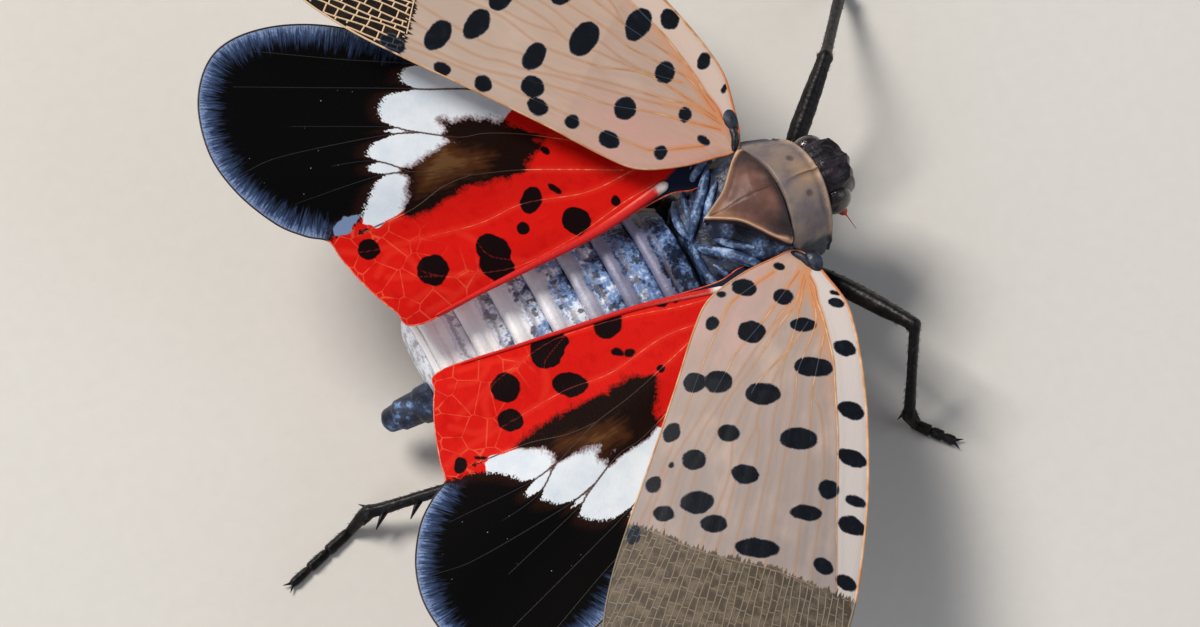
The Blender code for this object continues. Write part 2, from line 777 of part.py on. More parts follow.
def grown_thorax():
    """The thorax, larger all round by the gap, which cuts what meets it."""
    return body_loft("thorax_cutter", THORAX_STATIONS, THORAX_POWER, grow=GAP)


def metanotum_bars():
    """The raised bars behind the shield, on both sides."""
    made = []
    for side in (1, -1):
        for path in METANOTUM_BARS:
            points = smooth_line([(x, y * side, z) for x, y, z in path], 2)
            last = len(points) - 1
            radii = [
                METANOTUM_BAR_RADIUS + (METANOTUM_BAR_TIP - METANOTUM_BAR_RADIUS) * k / last
                for k in range(last + 1)
            ]
            made.append(tube("bar", points, radii, 6))
    return made


def make_body(finishes):
    """Thorax, shield, collar, abdomen and its end."""
    dark = finishes["wax"]
    thorax = body_loft("thorax", THORAX_STATIONS, THORAX_POWER, dark)
    plate = shield(finishes["shield"])
    plate_cutter = sheet_solid(
        "plate_cutter",
        shield_outline(GAP),
        lambda x, y: shield_height(x, y) + 2,
        SHIELD_THICK + GAP + 2,
    )
    combine(thorax, metanotum_bars(), "UNION")
    combine(thorax, [plate_cutter], "DIFFERENCE")
    band = collar("pronotum", finishes["collar"])
    band_cutter = sheet_solid(
        "band_cutter",
        shield_outline(GAP),
        lambda x, y: shield_height(x, y) + 2,
        SHIELD_THICK + 4,
    )
    combine(band, [band_cutter, grown_thorax()], "DIFFERENCE")
    rear = abdomen(finishes["abdomen"])
    points = smooth_line(TAIL_PATH, 3)
    radii = [r.x for r in smooth_line([Vector((radius, 0)) for radius in TAIL_RADII], 3)]
    tail = tube("tail_tip", points, radii, 12, finishes["wax"])
    abdomen_cutter = rear.copy()
    abdomen_cutter.data = rear.data.copy()
    bpy.context.scene.collection.objects.link(abdomen_cutter)
    swell(abdomen_cutter, GAP)
    combine(tail, [abdomen_cutter], "DIFFERENCE")
    return [thorax, plate, band, rear, tail]


def swell(target, distance):
    """Moves every vertex out along its normal."""
    moved = [vert.co + vert.normal * distance * MM for vert in target.data.vertices]
    for vert, place_now in zip(target.data.vertices, moved):
        vert.co = place_now


def make_head(finishes):
    """Head with eye sockets, eyes, feelers and beak."""
    centre = on_head(HEAD_CENTRE, 1)
    head = ball("head", centre, HEAD_HALF, finishes["head"], columns=20, rows=12)
    band_cutter = collar("band_cutter", grow=GAP)
    sockets = [
        ball(f"socket_{side}", on_head(EYE_CENTRE, side), EYE_HALF, grow=GAP) for side in (1, -1)
    ]
    roots = []
    for side in (1, -1):
        root, out = feeler_base(side)
        ends = [root - out * (FEELER_SUNK + GAP), root + out * 2]
        roots.append(tube(f"root_{side}", ends, [FEELER_RADIUS + GAP] * 2, LEG_SIDES))
    beak = tube(
        "beak",
        smooth_line(BEAK_PATH, 3),
        [r.x for r in smooth_line([Vector((radius, 0)) for radius in BEAK_RADII], 3)],
        LEG_SIDES,
        finishes["leg"],
    )
    head_cutter = ball("head_cutter", centre, HEAD_HALF, grow=GAP)
    combine(beak, [head_cutter, grown_thorax()], "DIFFERENCE")
    combine(head, [band_cutter, grown_thorax(), *sockets, *roots], "DIFFERENCE")
    made = [head, beak]
    for side, word in ((1, "left"), (-1, "right")):
        eye = ball(f"eye_{word}", on_head(EYE_CENTRE, side), EYE_HALF, finishes["eye"])
        combine(eye, [collar("band_cutter", grow=GAP)], "DIFFERENCE")
        made.append(eye)
        made.append(feeler(f"antenna_{word}", side, finishes["feeler"]))
    return made


def make_wings(finishes):
    """The two pairs of wings, cut to follow the thorax at their roots."""
    made = []
    for side, word in ((1, "left"), (-1, "right")):
        front = WingFrame(FOREWING_HINGE, FOREWING_TURN[word], side, FOREWING_CAMBER, FOREWING_CHORD)
        rear = WingFrame(HINDWING_HINGE, HINDWING_TURN[word], side, 0.0, FOREWING_CHORD)
        forewing = wing(
            f"forewing_{word}", front, FOREWING_OUTLINE, FOREWING_VEINS, finishes["forewing"]
        )
        hindwing = wing(
            f"hindwing_{word}", rear, HINDWING_OUTLINE, HINDWING_VEINS, finishes["hindwing"]
        )
        roll = tube(
            "roll",
            [rear.at(u, v) for u, v in FOLD_ROLL],
            FOLD_ROLL_RADII,
            LEG_SIDES,
        )
        combine(hindwing, [roll], "UNION")
        for made_wing in (forewing, hindwing):
            combine(made_wing, [grown_thorax(), collar("band_cutter", grow=GAP)], "DIFFERENCE")
            made.append(made_wing)
    return made


def make_legs(finishes):
    """Six legs, cut to follow the thorax at the hips."""
    made = []
    for name, joints in LEGS.items():
        one = leg(name, joints, finishes["leg"])
        combine(one, [grown_thorax()], "DIFFERENCE")
        made.append(one)
    return made


def centre_on_floor(nodes):
    """Parents the nodes to one empty that puts the middle of their box over the origin."""
    corners = [vert.co for node in nodes for vert in node.data.vertices]
    low = Vector([min(corner[k] for corner in corners) for k in range(3)])
    high = Vector([max(corner[k] for corner in corners) for k in range(3)])
    stance = bpy.data.objects.new("stance", None)
    bpy.context.scene.collection.objects.link(stance)
    stance.location = (-(low.x + high.x) / 2, -(low.y + high.y) / 2, 0)
    for node in nodes:
        node.parent = stance


def main():
    """Clears the scene and builds the insect."""
    for old in list(bpy.data.objects):
        bpy.data.objects.remove(old)
    finishes = {
        "wax": material("wax_blue_black_cuticle", (0.10, 0.13, 0.19), 0.50),
        "shield": material("brown_mesonotum_cuticle", (0.13, 0.07, 0.05), 0.40),
        "collar": material("grey_brown_pronotum_cuticle", (0.24, 0.18, 0.14), 0.50),
        "head": material("dark_head_cuticle", (0.05, 0.04, 0.05), 0.35),
        "eye": material("black_eye", (0.01, 0.01, 0.012), 0.15),
        "feeler": material("orange_feeler", (0.75, 0.16, 0.04), 0.45),
        "leg": material("black_leg_cuticle", (0.02, 0.022, 0.028), 0.40),
        "abdomen": material("banded_abdomen_cuticle", (0.45, 0.47, 0.50), 0.50),
        "forewing": material("tan_forewing_membrane", (0.50, 0.38, 0.30), 0.55),
        "hindwing": material("red_hindwing_membrane", (0.72, 0.02, 0.015), 0.45),
    }
    nodes = make_body(finishes) + make_head(finishes) + make_wings(finishes) + make_legs(finishes)
    centre_on_floor(nodes)


main()
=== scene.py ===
"""A still, life-size spotted lanternfly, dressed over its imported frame."""

import logging
import math
from dataclasses import dataclass, field
from enum import Enum
from typing import ClassVar, Sequence, Union

import bmesh
import bpy
import numpy as np
from mathutils import Matrix, Vector, noise
from mathutils.geometry import delaunay_2d_cdt

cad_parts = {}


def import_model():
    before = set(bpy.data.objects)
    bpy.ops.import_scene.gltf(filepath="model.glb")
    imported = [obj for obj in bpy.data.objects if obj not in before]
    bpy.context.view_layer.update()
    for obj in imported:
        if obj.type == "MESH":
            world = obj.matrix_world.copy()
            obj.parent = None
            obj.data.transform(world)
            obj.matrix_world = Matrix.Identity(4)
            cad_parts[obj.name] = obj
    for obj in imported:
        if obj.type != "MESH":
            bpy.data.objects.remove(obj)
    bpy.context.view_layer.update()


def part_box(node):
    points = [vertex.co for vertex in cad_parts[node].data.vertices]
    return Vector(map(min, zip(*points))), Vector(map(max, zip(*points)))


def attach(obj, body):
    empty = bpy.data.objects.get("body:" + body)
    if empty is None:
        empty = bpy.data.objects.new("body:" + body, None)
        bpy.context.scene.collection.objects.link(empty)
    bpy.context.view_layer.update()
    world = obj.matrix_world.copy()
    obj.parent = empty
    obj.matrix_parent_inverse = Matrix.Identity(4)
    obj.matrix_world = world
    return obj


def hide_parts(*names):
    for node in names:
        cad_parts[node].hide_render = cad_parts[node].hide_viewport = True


LOG = logging.getLogger("lanternfly")
MM = 0.001
# Stands for no vein, spot or scrap near
FAR = 9.0
Path2D = Sequence[tuple[float, float]]
Path3D = Sequence[tuple[float, float, float]]
Array = np.ndarray
Material = bpy.types.Material
Mesh = bpy.types.Mesh
Piece = bpy.types.Object
Socket = bpy.types.NodeSocket
Term = Union[Socket, str, tuple]


class Side(Enum):
    """The two sides of the body, by the sign of y."""

    LEFT = 1
    RIGHT = -1

    @property
    def word(self) -> str:
        """The side's name as the nodes have it."""
        return self.name.lower()


# Paths and distances, all in millimetres


def smooth_path(points: Sequence[Sequence[float]], step: float, closed: bool = False) -> Array:
    """Samples a Catmull-Rom curve.

    Args:
        points: The points that the curve passes through.
        step: Spacing of the samples.
        closed: Whether the curve returns to its first point.

    Returns:
        The samples, one row each.
    """
    marks = np.asarray(points, float)
    total = len(marks)
    rows = []
    for k in range(total if closed else total - 1):
        if closed:
            p0, p1, p2, p3 = (marks[(k + d) % total] for d in (-1, 0, 1, 2))
        else:
            p1, p2 = marks[k], marks[k + 1]
            p0 = marks[k - 1] if k else 2 * p1 - p2
            p3 = marks[k + 2] if k + 2 < total else 2 * p2 - p1
        count = max(1, round(float(np.linalg.norm(p2 - p1)) / step))
        t = (np.arange(count) / count)[:, None]
        square, cube = 2 * p0 - 5 * p1 + 4 * p2 - p3, 3 * p1 - p0 - 3 * p2 + p3
        rows.append(0.5 * (2 * p1 + (p2 - p0) * t + square * t**2 + cube * t**3))
    if not closed:
        rows.append(marks[-1:])
    return np.vstack(rows)


def distance_to_path(points: Array, path: Array, closed: bool = False) -> tuple[Array, Array]:
    """Measures how far points are from a path.

    Args:
        points: The points, one row each.
        path: The path's corners.
        closed: Whether the path returns to its start.

    Returns:
        Each point's distance, and how far along the path its nearest place is.
    """
    best = np.full(len(points), 1e9)
    place = np.zeros(len(points))
    run = 0.0
    ends = np.roll(path, -1, axis=0) if closed else path[1:]
    for start, end in zip(path, ends):
        along = end - start
        length = float(np.linalg.norm(along))
        if length < 1e-9:
            continue
        share = np.clip((points - start) @ along / length**2, 0, 1)
        apart = ((points - start - share[:, None] * along) ** 2).sum(axis=1)
        nearer = apart < best
        best[nearer] = apart[nearer]
        place[nearer] = run + share[nearer] * length
        run += length
    return np.sqrt(best), place


def depth_inside(points: Array, loop: Array) -> Array:
    """Measures the signed distance from a closed loop.

    Args:
        points: The points, one row each.
        loop: The loop's corners.

    Returns:
        Each point's distance, positive inside.
    """
    inside = np.zeros(len(points), bool)
    x, y = points[:, 0], points[:, 1]
    for (ax, ay), (bx, by) in zip(loop, np.roll(loop, -1, axis=0)):
        if ay != by:
            inside ^= ((ay > y) != (by > y)) & (x < (bx - ax) * (y - ay) / (by - ay) + ax)
    apart, _ = distance_to_path(points, loop, closed=True)
    return np.where(inside, apart, -apart)


def rough(points: Array, size: float, seed: float = 0.0) -> Array:
    """Smooth noise from about -1 to 1 whose lumps are this many millimetres across."""
    return np.array([noise.noise(Vector(p) / size + Vector((seed, seed * 0.7, -seed))) for p in points.tolist()])


def station_at(stations: Sequence[Sequence[float]], x: Array) -> list[Array]:
    """Reads body stations on smooth curves through them.

    Args:
        stations: Rows of a place and its values.
        x: Where they are read.

    Returns:
        One array for each value.
    """
    rows = np.asarray(sorted(stations), float)
    slopes = np.gradient(rows[:, 1:], rows[:, 0], axis=0)
    place = np.clip(np.searchsorted(rows[:, 0], x) - 1, 0, len(rows) - 2)
    span = rows[place + 1, 0] - rows[place, 0]
    t = np.clip((x - rows[place, 0]) / span, 0, 1)
    values = []
    for k in range(rows.shape[1] - 1):
        a, b = rows[place, k + 1], rows[place + 1, k + 1]
        rise_a, rise_b = slopes[place, k] * span, slopes[place + 1, k] * span
        values.append(
            (2 * t**3 - 3 * t**2 + 1) * a + (t**3 - 2 * t**2 + t) * rise_a
            + (3 * t**2 - 2 * t**3) * b + (t**3 - t**2) * rise_b
        )
    return values


# Node trees


def add_node(
    tree: bpy.types.NodeTree, kind: str, inputs: dict | None = None, out: int | str = 0, **settings
) -> Socket | bpy.types.Node:
    """Adds a node.

    Args:
        tree: The tree that it goes into.
        kind: Its type.
        inputs: Values or sockets for its inputs, by name or number.
        out: Which output is returned.
        settings: Its own properties.

    Returns:
        The output socket, or the node itself where it has none.
    """
    node = tree.nodes.new(kind)
    for name, value in settings.items():
        setattr(node, name, value)
    for name, value in (inputs or {}).items():
        if isinstance(value, Socket):
            tree.links.new(value, node.inputs[name])
        else:
            node.inputs[name].default_value = value
    return node.outputs[out] if len(node.outputs) else node


def linear(paint: str | float) -> tuple[float, float, float, float]:
    """Brings a colour to the linear values that nodes take.

    Args:
        paint: Its sRGB hex code, or the linear value of a grey.

    Returns:
        Red, green, blue and 1.
    """
    if not isinstance(paint, str):
        return (paint, paint, paint, 1.0)
    parts = [int(paint[k : k + 2], 16) / 255 for k in (1, 3, 5)]
    return (*(p / 12.92 if p <= 0.04045 else ((p + 0.055) / 1.055) ** 2.4 for p in parts), 1.0)


@dataclass
class Coat:
    """One material's node tree while it is being painted.

    Its patterns lie on the wing's own u and v, or on Object coordinates, all in millimetres.
    """

    name: str
    on_wing: bool = False
    material: Material = field(init=False)
    where: Socket = field(init=False)

    def __post_init__(self) -> None:
        """Starts an empty tree with the coordinates of its patterns."""
        self.material = bpy.data.materials.new(self.name)
        self.material.use_nodes = True
        self.material.node_tree.nodes.clear()
        if self.on_wing:
            self.where = self.add("ShaderNodeAttribute", out="Vector", attribute_name="place")
        else:
            place = self.add("ShaderNodeTexCoord", out="Object")
            self.where = self.add("ShaderNodeVectorMath", {0: place, "Scale": 1 / MM}, operation="SCALE")

    def add(self, kind: str, inputs: dict | None = None, out: int | str = 0, **settings) -> Socket:
        """Adds a node to this material, as add_node does."""
        return add_node(self.material.node_tree, kind, inputs, out, **settings)

    def grain(
        self, size: float, stretch: tuple[float, ...] = (1, 1, 1), detail: float = 3.0, place: Socket | None = None
    ) -> Socket:
        """Adds the lumps or streaks of a natural surface.

        Args:
            size: Size of a lump in millimetres.
            stretch: How much it is drawn out along each axis.
            detail: How many finer layers it has.
            place: Where it is read, if not at the coat's own coordinates.

        Returns:
            A number from 0 to 1.
        """
        scale = tuple(1 / (size * k) for k in stretch)
        inputs = {0: self.where if place is None else place, 1: scale}
        turned = self.add("ShaderNodeVectorMath", inputs, operation="MULTIPLY")
        return self.add("ShaderNodeTexNoise", {"Vector": turned, "Scale": 1.0, "Detail": detail, "Roughness": 0.6})

    def sums(self, *terms: Term) -> Socket:
        """Adds values together.

        Args:
            terms: Sockets, or names of marks kept on the mesh, each alone or with its weight.

        Returns:
            The sum.
        """
        total = None
        for term in terms:
            value, weight = term if isinstance(term, tuple) else (term, 1.0)
            if isinstance(value, str):
                value = self.add("ShaderNodeAttribute", out="Fac", attribute_name=value)
            if total is None and weight == 1.0:
                total = value
                continue
            inputs = {0: value, 1: weight, 2: 0.0 if total is None else total}
            total = self.add("ShaderNodeMath", inputs, operation="MULTIPLY_ADD")
        return total

    def mask(
        self, low: float, high: float, *terms: Term,
        floor: float = 0.0, top: float = 1.0, within: Socket | None = None,
    ) -> Socket:
        """Makes a mask with soft ends from a sum of values.

        Args:
            low: The sum where the mask is at its floor.
            high: The sum where it is at its top.
            terms: What is summed, as in sums.
            floor: Its value at low and beyond.
            top: Its value at high and beyond.
            within: A mask that it is multiplied by.

        Returns:
            The mask.
        """
        spread = {"Value": self.sums(*terms), "From Min": low, "From Max": high, "To Min": floor, "To Max": top}
        found = self.add("ShaderNodeMapRange", spread, interpolation_type="SMOOTHSTEP")
        if within is None:
            return found
        return self.add("ShaderNodeMath", {0: found, 1: within}, operation="MULTIPLY")

    def layers(self, ground: str | float, *coats: tuple[Socket, str | float]) -> Socket:
        """Lays colours, or greys for roughness, over one another.

        Args:
            ground: The lowest one.
            coats: Pairs of a mask and what it lets through.

        Returns:
            The colour.
        """
        colour = linear(ground)
        for mask, paint in coats:
            colour = self.add("ShaderNodeMix", {0: mask, 6: colour, 7: linear(paint)}, out=2, data_type="RGBA")
        return colour

    def shade(
        self, colour: Socket, roughness: Socket | float, relief: Socket, depth: float, **constants: float
    ) -> Material:
        """Closes the tree with its shader.

        Args:
            colour: Base colour.
            roughness: Roughness.
            relief: Height of the fine surface relief, from 0 to 1.
            depth: Depth of that relief in millimetres.
            constants: Other inputs of the shader, with _ for a space.

        Returns:
            The finished material.
        """
        normal = self.add("ShaderNodeBump", {"Height": relief, "Distance": depth * MM, "Strength": 1.0})
        inputs = {"Base Color": colour, "Roughness": roughness, "Normal": normal}
        inputs.update({name.replace("_", " "): value for name, value in constants.items()})
        shader = self.add("ShaderNodeBsdfPrincipled", inputs)
        self.add("ShaderNodeOutputMaterial", {"Surface": shader})
        return self.material


# Finishes: pattern sizes and relief depths are in millimetres


@dataclass(frozen=True)
class ForewingLeather:
    """Forewing membrane: thin leathery chitin, matt with fine lengthwise grain and painted spots."""

    name: str
    tan: str = "#c3a592"
    outer: str = "#bca593"
    blush: str = "#d98f5e"
    rose: str = "#d39c90"
    strip: str = "#dcc3b2"
    vein_stain: str = "#b58560"
    spot: str = "#0a0e15"
    bloom: str = "#222d3d"
    cell: str = "#17110d"
    cell_tone: str = "#2a2019"

    def material(self) -> Material:
        """Builds the material from the wing's marks.

        Returns:
            The material.
        """
        coat = Coat(self.name, on_wing=True)
        along, across = (coat.add("ShaderNodeSeparateXYZ", {0: coat.where}, out=k) for k in (0, 1))
        streaks = coat.grain(0.1, (9, 1, 1))
        clouds = coat.grain(1.6, (2, 1, 1))
        fine = coat.grain(0.07)
        wobble = coat.grain(0.5, detail=1.0)
        hinge = coat.mask(-1.8, 1.2, (along, -1.0), (clouds, 1.6))
        inner_half = coat.mask(-6.5, -1.5, (along, -1.0), (clouds, 2.0))
        rear = coat.mask(-0.2, -2.0, across, within=inner_half)
        by_strip = coat.mask(-0.5, 0.1, "strip", (clouds, 0.3))
        inner_third = coat.mask(5.2, 2.0, along, (clouds, 1.5))
        edge = coat.sums("spot", (wobble, 0.16), (fine, 0.04))
        spot = coat.mask(0.09, 0.125, edge)
        halo = coat.mask(0.05, 0.1, edge, within=coat.mask(0.2, 0.12, edge))
        net = coat.mask(0.36, 0.46, "net", streaks)
        colour = coat.layers(
            self.tan,
            (coat.mask(0.35, 0.75, streaks, top=0.3), "#b0907c"),
            (coat.mask(6.0, 12.5, along, (clouds, 2.0)), self.outer),
            (coat.mask(0.45, 0.75, clouds, top=0.45), "#cfb5a4"),
            (coat.mask(0.2, 0.6, clouds, top=0.7, within=rear), self.rose),
            (coat.mask(0.3, 0.75, streaks, top=0.6, within=hinge), self.blush),
            (coat.mask(7.5, 1.5, along, top=0.75, within=by_strip), self.blush),
            (coat.mask(0.0, 0.12, "strip", (fine, 0.05)), self.strip),
            (coat.mask(0.09, 0.02, "vein", top=0.5), self.vein_stain),
            (coat.mask(0.17, 0.03, "vein", top=0.75, within=inner_third), self.blush),
            (net, self.cell),
            (coat.mask(0.42, 0.62, (wobble, 0.6), (fine, 0.4), within=net), self.cell_tone),
            (coat.mask(0.2, 0.5, fine, within=halo), "#4a4a52"),
            (spot, self.spot),
            (coat.mask(0.48, 0.85, coat.grain(0.3, (1.5, 1, 1)), top=0.45, within=spot), self.bloom),
        )
        roughness = coat.layers(0.597, (spot, 0.434), (net, 0.479), (coat.mask(0.3, 0.8, fine, top=0.4), 0.701))
        relief = coat.sums((streaks, 0.5), (fine, 0.5))
        return coat.shade(colour, roughness, relief, 0.012, Specular_IOR_Level=0.16)


@dataclass(frozen=True)
class HindwingFilm:
    """Hindwing membrane: thin chitin film, vivid red, white and velvet black, with a silky gloss."""

    name: str
    red: str = "#ce130c"
    white: str = "#dfe4e8"
    brown: str = "#43240f"
    black: str = "#030202"
    margin: str = "#3e4f72"

    def material(self) -> Material:
        """Builds the material from the wing's marks.

        Returns:
            The material.
        """
        coat = Coat(self.name, on_wing=True)
        along, across = (coat.add("ShaderNodeSeparateXYZ", {0: coat.where}, out=k) for k in (0, 1))
        run, rim = (coat.add("ShaderNodeAttribute", out="Fac", attribute_name=mark) for mark in ("run", "rim"))
        by_rim = coat.add("ShaderNodeCombineXYZ", {"X": run, "Y": rim})
        rays = coat.grain(0.06, (1, 10, 1), place=by_rim)
        spines = coat.grain(0.16, (1, 14, 1), place=by_rim)
        fine = coat.grain(0.09)
        teeth = coat.grain(0.07, (1.6, 1, 1))
        clouds = coat.grain(1.3)
        wobble = coat.grain(0.45, detail=1.0)
        slant = coat.add("ShaderNodeVectorRotate", {"Vector": coat.where, "Angle": 0.79}, rotation_type="Z_AXIS")
        fade = coat.sums("clear", (wobble, 0.4), (coat.grain(0.13, (8, 1, 1), place=slant), 0.9))
        cells = coat.add("ShaderNodeTexVoronoi", {"Vector": coat.where, "Scale": 1.15}, feature="DISTANCE_TO_EDGE")
        specks = coat.add("ShaderNodeTexVoronoi", {"Vector": coat.where, "Scale": 2.1})
        spot = coat.mask(0.1, 0.16, "spot", (wobble, 0.2), (fine, 0.05))
        patch_edge = coat.sums("patch", (teeth, 0.50), (wobble, 0.5))
        patch = coat.mask(0.42, 0.54, patch_edge)
        band = coat.mask(0.03, 0.08, "band", (teeth, 0.1))
        lobe_edge = coat.sums("lobe", (teeth, 0.65))
        lobe = coat.mask(0.3, 0.4, lobe_edge)
        core = coat.mask(0.4, 1.0, lobe_edge)
        rear = coat.mask(8.6, 10.4, (across, -1.0), (clouds, 2.5), top=0.55)
        dusty = coat.mask(0.42, 0.62, clouds, top=0.7, within=core)
        colour = coat.layers(
            self.red,
            (coat.mask(0.35, 0.75, clouds, top=0.4), "#d31d12"),
            (coat.mask(0.5, 0.75, wobble, top=0.45), "#b80a08"),
            (coat.mask(0.22, 0.03, "vein", top=0.3), "#e63a26"),
            (coat.mask(0.055, 0.035, cells, (wobble, 0.06), within=rear), "#e2603f"),
            (band, self.white),
            (coat.mask(0.35, 0.7, clouds, top=0.45, within=band), "#bfccd9"),
            (coat.mask(0.055, 0.025, "vein", top=0.9, within=band), "#4d3328"),
            (coat.mask(0.2, 0.46, patch_edge, top=0.75), "#5c1008"),
            (patch, "#170805"),
            (coat.mask(0.35, 0.95, fade, within=patch), self.brown),
            (coat.mask(0.9, 1.3, fade, top=0.4, within=patch), "#7c5a38"),
            (lobe, "#210e08"),
            (core, self.black),
            (coat.mask(-0.35, -1.25, rim, (rays, -1.5), (spines, -1.1), within=core), self.margin),
            # Painted highlight: pale blue along the rim of the black lobe, over its blue-grey margin
            (coat.mask(-0.5, -1.0, rim, (rays, -1.2), (fine, -0.5), top=0.85, within=core), "#93a7cc"),
            (spot, "#120405"),
            (coat.mask(0.04, 0.015, "vein", top=0.6, within=spot), "#7a1a12"),
            (coat.mask(0.075, 0.03, rim, (fine, 0.03), within=core), "#6f5c48"),
            (coat.mask(0.25, 0.31, "scrap", (wobble, 0.45)), "#7387a8"),
            (coat.mask(0.05, 0.03, specks, within=dusty), "#c9ced6"),
            (coat.mask(0.5, 0.35, along, (across, 0.15), (fine, 0.1)), "#1a2234"),
        )
        roughness = coat.layers(0.434, (band, 0.552), (lobe, 0.791), (coat.mask(0.3, 0.8, fine, top=0.4), 0.604))
        relief = coat.sums((fine, 0.5), (clouds, 0.7), (rays, 0.3))
        return coat.shade(colour, roughness, relief, 0.02, Specular_IOR_Level=0.06)


@dataclass(frozen=True)
class ForewingVein:
    """Forewing vein: smooth hardened chitin rod, orange-brown, slate where it crosses a spot."""

    name: str
    rod: str = "#bd8552"
    pale: str = "#d9b48e"
    net: str = "#e6c49c"

    def material(self) -> Material:
        """Builds the material from the vein's marks.

        Returns:
            The material.
        """
        coat = Coat(self.name, on_wing=True)
        along = coat.add("ShaderNodeSeparateXYZ", {0: coat.where}, out=0)
        tone = coat.grain(0.5, (2, 1, 1))
        colour = coat.layers(
            self.rod,
            (coat.mask(0.35, 0.7, tone), self.pale),
            (coat.mask(2.5, 0.8, along, top=0.7), "#c8662a"),
            (coat.mask(-0.15, 0.05, "net"), self.net),
            (coat.mask(0.04, 0.1, "spot", (tone, 0.1)), "#2e3744"),
        )
        return coat.shade(colour, 0.5, coat.grain(0.06), 0.01, Specular_IOR_Level=0.4)


@dataclass(frozen=True)
class HindwingVein:
    """Hindwing vein: hair-thin chitin rod, pinkish on red, brown on white and grey on black."""

    name: str

    def material(self) -> Material:
        """Builds the material from the vein's marks.

        Returns:
            The material.
        """
        coat = Coat(self.name, on_wing=True)
        colour = coat.layers(
            "#dd4630",
            (coat.mask(0.45, 0.65, coat.grain(0.35)), "#ec8464"),
            (coat.mask(0.0, 0.1, "band"), "#4d3328"),
            (coat.mask(0.0, 0.2, "patch"), "#3a2618"),
            (coat.mask(0.0, 0.3, "lobe"), "#1b1819"),
            (coat.mask(0.0, 0.1, "spot", top=0.9), "#2c0c0a"),
        )
        return coat.shade(colour, 0.4, coat.grain(0.05), 0.01, Specular_IOR_Level=0.5)


@dataclass(frozen=True)
class FoldedFilm:
    """Rolled inner edge of a hindwing: smooth red chitin, white at its root end, with a painted pale pink highlight
    along its crease near the root.
    """

    name: str

    def material(self) -> Material:
        """Builds the material from the roll's marks.

        Returns:
            The material.
        """
        coat = Coat(self.name)
        fine = coat.grain(0.12)
        near_root = coat.mask(4.0, 0.5, "run", top=0.5)
        colour = coat.layers(
            "#cb120c",
            (coat.mask(0.4, 0.8, fine, top=0.4), "#dd2a1a"),
            # Painted highlight: pale pink down one side of the roll, along its crease, near the root
            (coat.mask(0.55, 0.75, "turn", (fine, 0.5), within=near_root), "#ee9a8c"),
            (coat.mask(0.85, 0.45, "run", (fine, 0.25)), "#f3ebe4"),
        )
        return coat.shade(colour, 0.5, fine, 0.02, Specular_IOR_Level=0.35)


@dataclass(frozen=True)
class ShieldChitin:
    """Mesonotum: hard satin chitin, maroon-brown, worn pale along its flared rim and tip, with painted shade on its
    underside and walls.
    """

    name: str

    def material(self) -> Material:
        """Builds the material from the shield's marks.

        Returns:
            The material.
        """
        coat = Coat(self.name)
        clouds, fine = coat.grain(1.1), coat.grain(0.08)
        colour = coat.layers(
            "#5d3c33",
            (coat.mask(0.35, 0.7, clouds), "#7a5244"),
            (coat.mask(0.95, 0.3, "front", (clouds, 0.6)), "#34201f"),
            (coat.mask(1.3, 0.4, "corner", top=0.85), "#1d1416"),
            (coat.mask(1.5, 0.3, "tip", top=0.75), "#a3744f"),
            (coat.mask(0.3, 0.16, "rim", (clouds, 0.2), top=0.9), "#9a6c4c"),
            (coat.mask(0.11, 0.06, "rim", (fine, 0.05)), "#c4a080"),
            (coat.mask(0.05, 0.015, "keel", top=0.75), "#3b211b"),
            (coat.mask(0.3, 0.1, "tip"), "#d8c0a6"),
            (coat.mask(0.55, 0.85, fine, top=0.3), "#86604e"),
            # Painted shade: the plate's underside and the lower part of its walls are darkened
            (coat.mask(0.1, 0.4, "under"), "#241718"),
        )
        roughness = coat.mask(0.3, 0.7, clouds, floor=0.44, top=0.6)
        return coat.shade(colour, roughness, coat.sums((fine, 0.6), (clouds, 0.5)), 0.02, Specular_IOR_Level=0.5)


@dataclass(frozen=True)
class CollarChitin:
    """Pronotum: satin chitin, taupe with tan marks round its keel and slate turned-down sides."""

    name: str

    def material(self) -> Material:
        """Builds the material from the collar's marks.

        Returns:
            The material.
        """
        coat = Coat(self.name)
        clouds, fine = coat.grain(0.9), coat.grain(0.07)
        front_part, front_half = coat.mask(1.3, 0.6, "front"), coat.mask(1.1, 0.8, "front")
        colour = coat.layers(
            "#857469",
            (coat.mask(0.35, 0.65, clouds), "#6b5f60"),
            (coat.mask(1.0, 0.2, "keel", top=0.85, within=front_part), "#a3856c"),
            (coat.mask(0.42, 0.26, "front", (clouds, 0.4), top=0.6), "#b8957a"),
            (coat.mask(0.3, 0.14, "pit", (clouds, 0.2), top=0.75), "#44363a"),
            (coat.mask(0.8, 0.9, "side", (clouds, 0.25)), "#2b2d36"),
            (coat.mask(0.06, 0.03, "front"), "#3a2b28"),
            (coat.mask(0.045, 0.02, "keel", top=0.8, within=front_half), "#6b4631"),
            (coat.mask(0.55, 0.85, fine, top=0.3), "#a39088"),
        )
        roughness = coat.mask(0.3, 0.7, clouds, floor=0.4, top=0.55)
        return coat.shade(colour, roughness, coat.sums((fine, 0.7), (clouds, 0.4)), 0.02, Specular_IOR_Level=0.45)


@dataclass(frozen=True)
class DarkCuticle:
    """Dark cuticle: black-brown chitin with fine pits and a low gloss."""

    name: str
    ground: str = "#161014"
    tone: str = "#3a2a30"
    worn: str = "#4a3c40"
    roughness: float = 0.34
    pit: float = 0.1
    shine: float = 0.5

    def material(self) -> Material:
        """Builds the material.

        Returns:
            The material.
        """
        coat = Coat(self.name)
        clouds, fine = coat.grain(0.6), coat.grain(self.pit)
        colour = coat.layers(
            self.ground,
            (coat.mask(0.4, 0.72, clouds), self.tone),
            (coat.mask(0.6, 0.85, fine, top=0.25), self.worn),
        )
        roughness = coat.mask(0.3, 0.7, fine, floor=self.roughness - 0.07, top=self.roughness + 0.12)
        relief = coat.sums((fine, 0.7), (clouds, 0.5))
        return coat.shade(colour, roughness, relief, 0.03, Specular_IOR_Level=self.shine)


